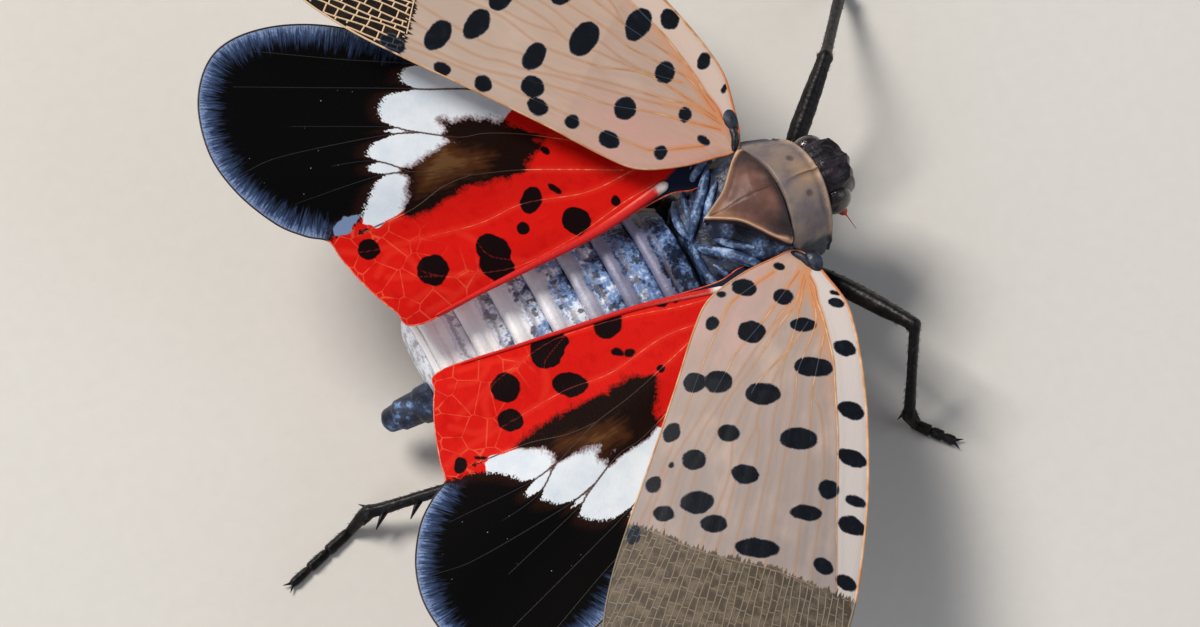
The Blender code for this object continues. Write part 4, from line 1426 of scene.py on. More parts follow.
@dataclass
class Forewing(Wing):
    """A forewing: leathery base, spots, orange veins and a fine brick-like net over its outer third."""

    SLOTS: ClassVar[tuple[str, ...]] = ("forewing_membrane",)
    net_row: float = 0.235
    net_cell: float = 0.54
    net_radius: float = 0.04
    net_from: float = 12.2
    strip_end: float = 13.4
    valley_depth: float = 0.02
    seed: int = 11

    def marks(self, flat: Array) -> dict[str, Array]:
        """Adds the pale strip and the net to the shared marks.

        Args:
            flat: Points in the wing's plane.

        Returns:
            The numbers by name.
        """
        found = super().marks(flat)
        rim = np.array(STRIP_RIM)
        above_rim = flat[:, 1] - np.interp(flat[:, 0], rim[:, 0], rim[:, 1])
        found["strip"] = np.where(flat[:, 0] < self.strip_end, above_rim, -1.0)
        start = np.array(NET_START[::-1])
        found["net"] = flat[:, 0] - np.interp(flat[:, 1], start[:, 1], start[:, 0])
        return found

    def wave(self, flat: Array) -> Array:
        """Shallow valleys between the main veins."""
        valley = np.clip(self.to_veins(flat, 0.4) / 0.3, 0, 1) ** 2
        return -self.valley_depth * valley * np.clip(flat[:, 0] / 3, 0, 1)

    def net_paths(self) -> list[Array]:
        """Draws rows that run outwards and staggered bars between them, like laid bricks.

        Returns:
            The rows, the bars and the net's inner border, cut to the wing.
        """
        draw = np.random.default_rng(self.seed)
        start = np.array(NET_START[::-1])
        outer = float(self.loop[:, 0].max())
        low, high = float(self.loop[:, 1].min()), float(self.loop[:, 1].max())
        rows = np.arange(low - 0.4, high + 0.5, self.net_row)
        bends = draw.uniform(-0.03, 0.03, len(rows))
        paths = []

        def row_at(k: int, u: Array) -> Array:
            """A row's v at u."""
            spread = 1 + 0.035 * (u - 13)
            return 0.6 + (rows[k] - 0.6) * spread + bends[k] + 0.03 * np.sin(u * 2.3 + k * 1.7)

        for k in range(len(rows)):
            u = np.arange(self.net_from, outer + 0.2, 0.12)
            paths.append(np.column_stack([u, row_at(k, u)]))
            if k + 1 == len(rows):
                continue
            place = self.net_from + self.net_cell * (0.5 * (k % 2) + draw.uniform(0, 0.3))
            while place < outer:
                lean = draw.uniform(-0.05, 0.05)
                ends = np.array([place, place + lean])
                span = np.array([row_at(k, ends[:1])[0], row_at(k + 1, ends[1:])[0]])
                t = np.linspace(0, 1, 3)
                paths.append(np.column_stack([ends[0] + t * lean, span[0] + t * (span[1] - span[0])]))
                place += self.net_cell * draw.uniform(0.72, 1.3)
        whole = np.vstack(paths)
        begins = np.interp(whole[:, 1], start[:, 1], start[:, 0])
        good = (depth_inside(whole, self.loop) > 0.04) & (whole[:, 0] > begins - 0.02)
        kept = []
        for path, fits in zip(paths, np.split(good, np.cumsum([len(path) for path in paths])[:-1])):
            run = np.flatnonzero(fits)
            if len(run) > 1:
                kept.append(path[run[0] : run[-1] + 1])
        border = smooth_path([p for p in NET_START if low < p[1] < high], 0.15)
        kept.append(border[depth_inside(border, self.loop) > 0.03])
        return kept

    def build(self, leather: Material, rod: Material) -> list[Piece]:
        """Builds the membrane and its veins.

        Args:
            leather: The membrane's finish.
            rod: The veins' finish.

        Returns:
            The membrane, the main veins and the net.
        """
        word = self.plane.side.word
        skin = self.membrane(f"forewing_{word}_membrane", leather)
        rim = np.where(self.loop[:, 1] > 0, 1.15, 0.8) * self.rim_radius
        veins = self.main_veins(f"forewing_{word}_veins", rod, rim)
        paths = self.net_paths()
        radii = [np.full(len(path), self.net_radius) for path in paths]
        return [skin, veins, self.rods(f"forewing_{word}_net", paths, radii, rod, sides=4)]

    def nodes(self) -> tuple[str, ...]:
        """The wing's own node."""
        return (f"forewing_{self.plane.side.word}",)


@dataclass(frozen=True)
class HindwingPattern:
    """The painted areas of one hindwing, each a closed path in its plane."""

    patch: Path2D
    clear: Path2D
    band: Path2D
    lobe: Path2D
    scrap: Spot | None = None


# Where the black lobe meets the white band, and the rest of the lobe's loop, which runs outside the wing
LEFT_LOBE_EDGE = (
    (10.9, -3.0), (10.5, -3.8), (10.8, -4.5), (10.75, -5.0), (10.3, -5.4), (10.1, -5.8), (10.15, -6.5),
    (10.05, -7.0), (9.6, -7.3), (9.25, -7.5), (9.1, -8.0), (9.0, -8.5),
)
RIGHT_LOBE_EDGE = (
    (10.25, -3.4), (10.3, -4.0), (10.4, -4.9), (10.2, -5.5), (9.9, -6.5), (9.9, -7.25), (9.4, -7.4), (9.0, -8.0),
    (8.9, -8.9),
)
LOBE_OUTSIDE = ((9.0, -9.6), (9.3, -10.2), (9.4, -12.5), (18.5, -12.5), (18.5, 1.0))
LEFT_HINDWING_SPOTS = spots(
    (1.55, -2.65, 0.4, 0.35), (2.35, -4.2, 1.15, 1.05), (4.15, -4.55, 0.8, 1.1, -15), (3.8, -5.65, 0.5, 0.5),
    (4.25, -7.0, 1.4, 1.15), (3.78, -7.45, 1.4, 1.15), (5.65, -9.0, 1.2, 1.25), (8.0, -9.7, 0.8, 0.85),
    (4.8, -2.65, 0.4, 0.3), (3.7, -3.65, 0.6, 0.25),
)
LEFT_PATTERN = HindwingPattern(
    patch=(
        (5.0, -2.6), (5.8, -2.6), (6.8, -2.75), (7.6, -3.3), (8.1, -3.7), (8.55, -4.05), (7.7, -4.3), (8.0, -5.0),
        (8.25, -5.75), (8.4, -6.25), (8.0, -7.1), (7.75, -7.6), (7.5, -7.7), (7.1, -7.1), (6.75, -6.25),
        (6.25, -5.25), (5.75, -4.75), (5.25, -4.0), (5.25, -3.4),
    ),
    clear=((8.45, -4.6), (8.3, -6.2), (7.7, -7.0), (7.0, -5.9), (6.2, -4.6), (6.3, -4.0), (7.3, -4.4)),
    band=(
        (6.4, 0.6), (10.6, -1.0), *LEFT_LOBE_EDGE, (8.75, -9.05), (8.6, -9.0), (8.3, -8.75), (8.0, -8.25),
        (7.75, -7.6), (7.6, -6.5), (6.9, -5.0), (6.4, -3.6), (6.7, -2.6), (6.6, -1.5),
    ),
    lobe=((10.6, 1.0), *LEFT_LOBE_EDGE, (8.85, -9.1), *LOBE_OUTSIDE),
    scrap=Spot(9.22, -9.5, 0.62, 1.35, 14),
)
RIGHT_HINDWING_SPOTS = spots(
    (1.2, -3.3, 0.45, 0.5), (1.05, -2.75, 0.2, 0.2), (2.3, -5.15, 1.35, 1.05), (3.65, -7.25, 1.6, 1.3),
    (3.3, -6.9, 0.9, 0.8), (4.95, -6.25, 1.0, 1.35), (5.4, -8.6, 1.2, 1.1), (6.65, -8.25, 0.95, 0.95),
    (3.4, -4.2, 0.4, 0.45), (3.45, -4.65, 0.35, 0.5), (4.0, -3.0, 0.35, 0.3), (8.7, -9.9, 0.7, 0.5),
    (8.3, -9.2, 0.2, 0.5),
)
RIGHT_PATTERN = HindwingPattern(
    patch=(
        (4.6, -3.1), (5.25, -3.1), (6.5, -3.1), (7.0, -3.6), (7.6, -4.25), (7.95, -4.75), (7.4, -4.85),
        (7.75, -5.75), (8.1, -6.4), (7.75, -6.75), (7.7, -7.6), (7.6, -7.75), (6.75, -7.0), (6.0, -6.0),
        (5.25, -4.9), (4.5, -4.0),
    ),
    clear=((7.9, -4.8), (7.7, -5.8), (8.0, -6.5), (7.3, -6.4), (6.7, -5.2), (6.3, -4.2), (6.9, -3.9)),
    band=(
        (6.2, 0.6), (10.3, -1.0), *RIGHT_LOBE_EDGE, (8.5, -9.0), (8.1, -8.4), (7.7, -7.6), (7.4, -6.4), (6.6, -5.0),
        (6.1, -3.8), (6.4, -2.8), (6.4, -1.5),
    ),
    lobe=((10.3, 1.0), *RIGHT_LOBE_EDGE, *LOBE_OUTSIDE),
)
HINDWING_VEINS = (
    (0.024, ((0.7, -1.2), (1.3, -2.6), (1.9, -4.4), (2.6, -6.0), (3.4, -7.3), (5.0, -8.8), (6.8, -10.2))),
    (0.024, ((1.6, -1.1), (2.6, -3.0), (4.3, -4.8), (5.2, -6.4), (6.5, -8.0), (8.0, -9.8), (8.8, -10.4))),
    (0.03, ((2.0, -1.5), (5.0, -3.75), (6.5, -5.1), (7.75, -5.95), (8.4, -6.4), (9.4, -7.4), (11.2, -10.0))),
    (0.03, ((6.5, -5.1), (7.1, -6.1), (7.6, -7.6), (8.6, -9.4))),
    (0.03, (
        (2.6, -0.8), (4.0, -1.6), (5.8, -2.6), (7.0, -3.45), (7.75, -4.2), (9.4, -5.1), (10.1, -5.45),
        (13.0, -7.6),
    )),
    (0.03, ((9.0, -4.9), (10.1, -5.9), (12.6, -8.8), (13.4, -10.2))),
    (0.032, ((5.0, -1.0), (7.0, -1.6), (8.4, -2.4), (9.75, -3.4), (10.5, -3.9), (13.4, -6.0), (15.6, -7.6))),
    (0.032, ((4.0, -0.3), (7.0, -1.1), (10.0, -2.5), (13.0, -4.4), (16.0, -6.2))),
    (0.024, ((8.4, -6.4), (9.9, -7.0), (11.8, -9.0))),
    (0.016, ((2.9, -6.6), (3.6, -7.0), (4.3, -7.3), (5.0, -7.1), (5.9, -7.2))),
    (0.016, ((4.2, -8.1), (4.4, -9.3), (4.9, -10.4))),
    (0.016, ((4.4, -9.3), (5.2, -9.6), (5.6, -10.6))),
    (0.016, ((5.2, -9.0), (6.1, -9.3), (6.9, -9.0), (7.3, -9.4), (7.2, -10.4))),
)
FOLD_ROLL = ((0.34, -0.92), (1.38, -3.85), (2.72, -6.6), (3.92, -9.0), (4.6, -10.4))
FOLD_ROLL_RADII = (0.2, 0.19, 0.16, 0.12, 0.06)


@dataclass
class Hindwing(Wing):
    """A hindwing: red film with spots, a brown patch, a white band, a black lobe and a rolled inner edge."""

    SLOTS: ClassVar[tuple[str, ...]] = ("hindwing_membrane",)
    pattern: HindwingPattern = LEFT_PATTERN
    roll_width: float = 1.0

    def marks(self, flat: Array) -> dict[str, Array]:
        """Adds the painted areas to the shared marks.

        Args:
            flat: Points in the wing's plane.

        Returns:
            The numbers by name.
        """
        found = super().marks(flat)
        for name in ("patch", "band", "lobe"):
            found[name] = depth_inside(flat, smooth_path(getattr(self.pattern, name), 0.35, closed=True))
        # Dark colour creeps into the white along the veins
        creep = bump(found["vein"], 0.13)
        found["lobe"] += 0.50 * creep
        found["patch"] += 0.30 * creep * (found["patch"] > -1)
        found["clear"] = depth_inside(flat, np.array(self.pattern.clear))
        scrap = self.pattern.scrap
        found["scrap"] = scrap.depth(flat) if scrap else np.full(len(flat), -FAR)
        # The white runs on under the black, so that no red shows between them
        found["band"] = np.maximum(found["band"], np.minimum(found["lobe"] + 0.35, flat[:, 1] + 8.9))
        return found

    def wave(self, flat: Array) -> Array:
        """Shallow pleats that fan out from the root."""
        fan = np.arctan2(flat[:, 1] - 1.0, flat[:, 0] + 0.5)
        reach = np.hypot(flat[:, 0], flat[:, 1])
        return 0.012 * reach * np.sin(fan * 16) * np.clip(reach / 8, 0, 1)

    def roll(self, name: str, material: Material) -> Piece:
        """Builds the rolled inner edge as a smooth rod with round ends.

        Args:
            name: The piece's name.
            material: Its finish.

        Returns:
            The roll.
        """
        step, round_end, sides = 0.12, 0.28, 20
        line = smooth_path(FOLD_ROLL, step)
        share = np.linspace(0, 1, len(line))
        radii = np.interp(share, np.linspace(0, 1, len(FOLD_ROLL_RADII)), FOLD_ROLL_RADII) * self.roll_width
        run = np.arange(len(line)) * step
        ends = np.minimum(run, run[::-1])
        radii = radii * np.sqrt(np.clip(1 - (1 - np.clip(ends / round_end, 0, 1)) ** 2, 0.02, 1))
        path = self.plane.at(line, self.wave(line) + 0.06)
        rings = tube_rings(path, radii, sides, 0.8)
        turn = np.cos(2 * np.pi * (np.arange(sides) + 0.5) / sides) * self.plane.side.value
        marks = {"run": np.repeat(run, sides), "turn": np.tile(turn, len(line))}
        return self.bench.mesh(name, rings.reshape(-1, 3), ring_faces(len(line), sides), material, marks)

    def build(self, film: Material, rod: Material, fold: Material) -> list[Piece]:
        """Builds the membrane, its veins and its roll.

        Args:
            film: The membrane's finish.
            rod: The veins' finish.
            fold: The roll's finish.

        Returns:
            The three pieces.
        """
        word = self.plane.side.word
        skin = self.membrane(f"hindwing_{word}_membrane", film)
        veins = self.main_veins(f"hindwing_{word}_veins", rod, np.full(len(self.loop), self.rim_radius))
        return [skin, veins, self.roll(f"hindwing_{word}_roll", fold)]

    def nodes(self) -> tuple[str, ...]:
        """The wing's own node."""
        return (f"hindwing_{self.plane.side.word}",)


# Body


THORAX_STATIONS = (
    (-0.55, 1.95, 2.1, 4.9), (0.1, 2.15, 1.85, 5.2), (1.2, 2.5, 1.7, 5.9), (2.6, 2.75, 1.75, 6.25),
    (3.5, 2.35, 2.1, 5.95), (4.2, 1.6, 2.7, 5.5),
)
ABDOMEN_STATIONS = (
    (-0.85, 2.3, 1.85, 4.8), (-2.2, 2.8, 1.4, 4.9), (-4.0, 3.15, 1.0, 4.95), (-6.0, 3.3, 0.8, 5.0),
    (-8.0, 3.2, 0.85, 5.0), (-9.8, 2.85, 1.1, 4.95), (-11.0, 2.35, 1.5, 4.75),
)


def oval_rings(
    x: Array, y: Array, sizes: Sequence[Array], power: float, columns: int, grow: Array
) -> tuple[Array, Array]:
    """Superellipse rings across the body.

    Args:
        x: Place of each ring along the body.
        y: Its middle across the body.
        sizes: Half width, low and high of each ring.
        power: Squareness of the rings.
        columns: Points in each ring.
        grow: How much each ring stands out from its size.

    Returns:
        The rings and the angle of each point round its ring.
    """
    half, low, high = sizes
    turn = 2 * np.pi * np.arange(columns) / columns
    side = np.sign(np.cos(turn)) * np.abs(np.cos(turn)) ** (2 / power)
    rise = np.sign(np.sin(turn)) * np.abs(np.sin(turn)) ** (2 / power)
    across = y[:, None] + (half + grow)[:, None] * side
    height = ((low + high) / 2)[:, None] + ((high - low) / 2 + grow)[:, None] * rise
    rings = np.stack([np.broadcast_to(x[:, None], across.shape), across, height], axis=2)
    return rings, turn


@dataclass
class Abdomen(Assembly):
    """The abdomen: overlapping plates with raised rear edges, a rounded end and the tube under it."""

    SLOTS: ClassVar[tuple[str, ...]] = ("abdomen_cuticle", "waxy_cuticle")
    plates: int = 7
    bend: float = 0.6
    power: float = 2.4
    columns: int = 128
    plate_profile: Path2D = (
        (0, -0.14), (0.05, -0.04), (0.4, 0.03), (0.6, 0.02), (0.7, 0.12), (0.84, 0.18), (0.95, 0.13), (1, -0.08),
    )
    tail_profile: Path2D = ((0, 0.8), (0.35, 0.72), (0.38, 0.64), (0.7, 0.6), (0.73, 0.52), (0.93, 0.46), (1, 0.24))
    tail_path: Path3D = ((-11.2, -0.45, 2.85), (-11.9, -0.25, 2.45), (-12.7, -0.1, 2.05), (-13.4, 0.05, 1.6))

    def build(self, plate: Material, wax: Material) -> list[Piece]:
        """Builds the plates and the tail.

        Args:
            plate: The plates' finish.
            wax: The tail's finish.

        Returns:
            The plates and the tail.
        """
        front, back = ABDOMEN_STATIONS[0][0], ABDOMEN_STATIONS[-1][0]
        length = (front - back) / self.plates
        share = np.linspace(0, 1, 34)
        profile = np.interp(share, *zip(*self.plate_profile))
        x = np.concatenate([front - (k + share) * length for k in range(self.plates)])
        segment = np.tile(share, self.plates)
        grow = np.tile(profile, self.plates)
        end = np.linspace(0, 1, 12)[1:]
        x = np.concatenate([x, back - 0.5 * end])
        grow = np.concatenate([grow, -1.1 * (1 - np.sqrt(1 - end**2 * 0.98))])
        segment = np.concatenate([segment, np.interp(end, (0, 0.35, 0.5), (0.9, 0.9, 0.1))])
        order = x + np.linspace(0, -0.002, len(x))
        y = self.bend * (np.minimum(order, 0) / back) ** 2
        rings, turn = oval_rings(order, y, station_at(ABDOMEN_STATIONS, order), self.power, self.columns, grow)
        flat = rings.reshape(-1, 3)
        middle = np.repeat(np.stack([order, y, np.full(len(order), 2.9)], axis=1), self.columns, axis=0)
        out = unit(flat - middle)
        flat = flat + out * (0.035 * rough(flat, 0.55) + 0.015 * rough(flat, 0.16, 3.0))[:, None]
        rear = np.clip((front - order) / (front - back), 0, 1)
        marks = {
            "segment": np.repeat(segment, self.columns),
            "rear": np.repeat(rear, self.columns),
            "flank": np.tile(np.clip(0.5 - 0.5 * np.sin(turn), 0, 1), len(order)),
        }
        body = self.bench.mesh("abdomen_plates", flat, ring_faces(len(order), self.columns), plate, marks)
        line = smooth_path(self.tail_path, 0.08)
        share = np.linspace(0, 1, len(line))
        radii = np.interp(share, *zip(*self.tail_profile))
        rings = tube_rings(line, radii, 40)
        tail = self.bench.mesh("tail_tube", rings.reshape(-1, 3), ring_faces(len(line), 40), wax)
        return [body, tail]

    def nodes(self) -> tuple[str, ...]:
        """The abdomen and the tube at its end."""
        return ("abdomen", "tail_tip")


@dataclass
class Thorax(Assembly):
    """The thorax: a domed trunk with folds, waxy bars behind the shield and lumps at the wing roots."""

    SLOTS: ClassVar[tuple[str, ...]] = ("waxy_cuticle",)
    power: float = 3.0
    columns: int = 120
    bars: Sequence[tuple[float, Path3D]] = (
        (0.2, ((-0.45, 0.12, 5.02), (-0.1, 0.6, 5.25), (0.45, 1.15, 5.52), (1.05, 1.85, 5.62), (1.4, 2.3, 5.55))),
        (0.16, ((-0.45, 0.12, 5.0), (-0.55, 0.75, 4.88), (-0.45, 1.4, 4.68), (-0.2, 2.0, 4.4))),
        (0.15, ((0.25, 0.35, 5.35), (0.75, 0.95, 5.66), (1.35, 1.5, 5.86))),
        (0.17, ((0.35, 1.95, 5.05), (0.95, 2.35, 5.4), (1.7, 2.55, 5.6))),
        (0.11, ((0.15, 0.75, 5.24), (0.6, 1.45, 5.46), (1.1, 2.1, 5.5))),
        (0.12, ((-0.15, 1.0, 4.92), (0.1, 1.7, 4.92), (0.3, 2.35, 4.75))),
    )
    sclerites: Sequence[tuple[float, Path3D]] = (
        (0.15, ((2.45, 2.25, 5.8), (2.75, 2.7, 5.98), (2.8, 3.15, 6.0))),
        (0.12, ((1.95, 2.45, 5.72), (2.15, 2.85, 5.88), (2.1, 3.2, 5.8))),
        (0.13, ((0.75, 2.5, 5.42), (1.05, 2.8, 5.5), (1.1, 3.15, 5.42))),
    )

    def build(self, wax: Material, pale: Material, dark: Material) -> list[Piece]:
        """Builds the trunk, the bars and the scales over the wing roots.

        Args:
            wax: The trunk's finish.
            pale: The bars' finish.
            dark: The finish of what lies round the wing roots.

        Returns:
            The trunk first, then the rest.
        """
        x = np.linspace(THORAX_STATIONS[0][0] - 0.1, THORAX_STATIONS[-1][0] + 0.1, 96)
        sizes = station_at(THORAX_STATIONS, x)
        ends = np.minimum(x - x[0], x[-1] - x) / 0.35
        grow = -0.5 * (1 - np.sqrt(np.clip(1 - (1 - np.clip(ends, 0, 1)) ** 2, 0, 1)))
        rings, _ = oval_rings(x, 0 * x, sizes, self.power, self.columns, grow)
        flat = rings.reshape(-1, 3)
        middle = np.repeat(np.stack([x, 0 * x, np.full(len(x), 3.8)], axis=1), self.columns, axis=0)
        out = unit(flat - middle)
        folds = 0.07 * rough(flat * np.array((1, 0.6, 1)), 0.75, 1.0) + 0.03 * rough(flat, 0.22, 5.0) - 0.03
        trunk = self.bench.mesh("thorax_trunk", flat + out * folds[:, None], ring_faces(len(x), self.columns), wax)
        bars = self.rods("thorax_bars", self.bars, pale)
        roots = self.rods("wing_root_sclerites", self.sclerites, dark)
        return [trunk, bars, roots] + [self.scale(side, dark) for side in Side]

    def rods(self, name: str, shapes: Sequence[tuple[float, Path3D]], skin: Material) -> Piece:
        """Builds tapered bars along paths, the same on both sides.

        Args:
            name: The piece's name.
            shapes: A radius and a path for each bar of the left side.
            skin: Their finish.

        Returns:
            The bars as one piece.
        """
        paths, radii = [], []
        for side in Side:
            for radius, path in shapes:
                line = smooth_path([(px, py * side.value, pz) for px, py, pz in path], 0.08)
                share = np.linspace(-1, 1, len(line))
                paths.append(line)
                radii.append(radius * np.sqrt(np.clip(1.05 - share**2, 0.02, 1)) * (1 + 0.1 * rough(line, 0.6)))
        return self.bench.along_paths(name, paths, radii, skin, sides=12)

    def scale(self, side: Side, dark: Material) -> Piece:
        """Builds a domed scale over the root of a forewing.

        Args:
            side: Which wing's.
            dark: Its finish.

        Returns:
            The scale.
        """
        columns, rows = 32, 20
        turn, polar = np.meshgrid(2 * np.pi * np.arange(columns) / columns, np.linspace(0.02, np.pi - 0.02, rows))
        shape = np.stack([np.sin(polar) * np.cos(turn), np.sin(polar) * np.sin(turn), np.cos(polar)], axis=2)
        points = shape.reshape(-1, 3) * np.array((0.3, 0.46, 0.2))
        points += points * (0.1 * rough(points, 0.35, side.value))[:, None]
        centre = np.array((2.9, 3.45, 6.0) if side is Side.LEFT else (3.06, -3.0, 6.0))
        return self.bench.mesh(f"tegula_{side.word}", points + centre, ring_faces(rows, columns), dark)

    def nodes(self) -> tuple[str, ...]:
        """The trunk's node."""
        return ("thorax",)


# Half of the shield's outline, from its rear tip by its front corner to the middle of its front edge
SHIELD_HALF = (
    (0, 0), (0.55, 0.3), (1.15, 0.68), (1.65, 1.22), (2.1, 1.72), (2.62, 2.08), (2.86, 1.4), (3.0, 0.7),
    (3.04, 0),
)


@dataclass
class Shield(Assembly):
    """The mesonotum: a triangular shield with a flared rim, a faint keel and a pointed rear tip."""

    SLOTS: ClassVar[tuple[str, ...]] = ("mesonotum_cuticle",)
    top: float = 7.1
    tip_fall: float = 0.1
    side_fall: float = 0.17
    thickness: float = 0.45
    spacing: float = 0.05

    def build(self, chitin: Material) -> list[Piece]:
        """Builds the shield as one closed plate.

        Args:
            chitin: Its finish.

        Returns:
            The shield.
        """
        left = smooth_path(SHIELD_HALF, 0.06)
        loop = np.vstack([left, (left[1:-1] * np.array((1, -1)))[::-1]])
        flat, faces = fill_outline(loop, self.spacing)
        keel = np.abs(flat[:, 1])
        folded = np.column_stack([flat[:, 0], keel])
        rim, front = (
            distance_to_path(folded, smooth_path(part, 0.06))[0] for part in (SHIELD_HALF[:6], SHIELD_HALF[5:])
        )
        corner = np.hypot(flat[:, 0] - 2.55, keel - 1.9)
        tip = np.hypot(flat[:, 0], flat[:, 1])
        height = self.top - self.tip_fall * (1 - flat[:, 0] / 3.04) ** 2 - self.side_fall * flat[:, 1] ** 2
        flare = 0.09 * bump(rim, 0.1) - 0.07 * bump(rim, 0.2, 0.32)
        crease = -0.035 * bump(keel, 0.05) * np.clip((flat[:, 0] - 0.7) / 0.4, 0, 1)
        dome = 0.16 * np.clip(np.minimum(rim, front) / 0.9, 0, 1)
        places = np.column_stack([flat, height])
        upper = height + flare * np.clip(front / 0.2, 0.1, 1) + crease + dome + 0.02 * rough(places, 0.35)
        upper -= 0.1 * np.clip(1 - front / 0.12, 0, 1)
        points = np.vstack([np.column_stack([flat, upper]), np.column_stack([flat, height - self.thickness])])
        marks = {"rim": rim, "front": front, "keel": keel, "corner": corner, "tip": tip}
        both = {key: np.concatenate([values, values]) for key, values in marks.items()}
        # Marks the lower skin, which the finish darkens as painted shade
        both["under"] = np.repeat((0.0, 1.0), len(flat))
        return [self.bench.mesh("mesonotum_shield", points, double_skin(faces, len(flat)), chitin, both)]

    def nodes(self) -> tuple[str, ...]:
        """The shield's node."""
        return ("mesonotum",)


@dataclass
class Collar(Assembly):
    """The pronotum: an arched collar with a short keel, two pits and turned-down sides."""

    SLOTS: ClassVar[tuple[str, ...]] = ("pronotum_cuticle",)
    rear_edge: Path2D = ((0.0, 3.1), (0.19, 3.06), (0.38, 2.93), (0.6, 2.68), (0.75, 2.72), (1.0, 3.06))
    front_x: float = 4.85
    top: float = 7.0
    half_width: float = 2.8
    drop: float = 2.6
    arc: float = 78.0
    front_fall: float = 0.45
    side_sweep: float = 0.75
    thickness: float = 0.4

    def point(self, back: Array, across: Array, outward: Array) -> Array:
        """Finds points on the collar.

        Args:
            back: 0 at the front edge, 1 at the rear edge.
            across: -1 at the right end, 1 at the left end.
            outward: Height over its outer surface.

        Returns:
            The points.
        """
        angle = math.radians(self.arc) * across
        side = np.abs(across)
        rear = np.interp(side, *zip(*self.rear_edge))
        front = self.front_x - self.side_sweep * side**1.6
        top = self.top - self.front_fall * (1 - back) ** 1.5
        half = self.half_width - 0.35 * (1 - back) + outward
        height = top - self.drop + (self.drop + outward) * np.cos(angle)
        return np.stack([front + (rear - front) * back, half * np.sin(angle), height], axis=-1)

    def build(self, chitin: Material) -> list[Piece]:
        """Builds the collar as one closed arched plate.

        Args:
            chitin: Its finish.

        Returns:
            The collar.
        """
        columns, rows = 181, 56
        across, back = (grid.ravel() for grid in np.meshgrid(np.linspace(-1, 1, columns), np.linspace(0, 1, rows)))
        base = self.point(back, across, 0 * back)
        keel = np.abs(base[:, 1])
        front, rear = back * 1.7, (1 - back) * 1.7
        pit = np.hypot(keel - 0.78, front - 0.72)
        edge = np.minimum(front, rear)
        off_rear = np.clip((rear - 0.25) / 0.3, 0, 1)
        relief = 0.02 * rough(base, 0.4, 2.0) - 0.05 * bump(pit, 0.12)
        relief += (0.05 * bump(keel, 0.05) - 0.04 * bump(keel, 0.12, 0.16)) * off_rear
        relief += 0.05 * bump(front, 0.1) - 0.06 * bump(front, 0.12, 0.25)
        relief -= 0.1 * np.clip(1 - edge / 0.08, 0, 1)
        relief += 0.06 * bump(np.abs(across), 0.03, 0.86)
        upper = self.point(back, across, relief)
        lower = self.point(back, across, np.full(len(back), -self.thickness))
        faces = double_skin(ring_faces(rows, columns, closed=False, caps=False), rows * columns)
        marks = {"keel": keel, "front": front, "pit": pit, "side": np.abs(across)}
        both = {key: np.concatenate([values, values]) for key, values in marks.items()}
        return [self.bench.mesh("pronotum_collar", np.vstack([upper, lower]), faces, chitin, both)]

    def nodes(self) -> tuple[str, ...]:
        """The collar's node."""
        return ("pronotum",)


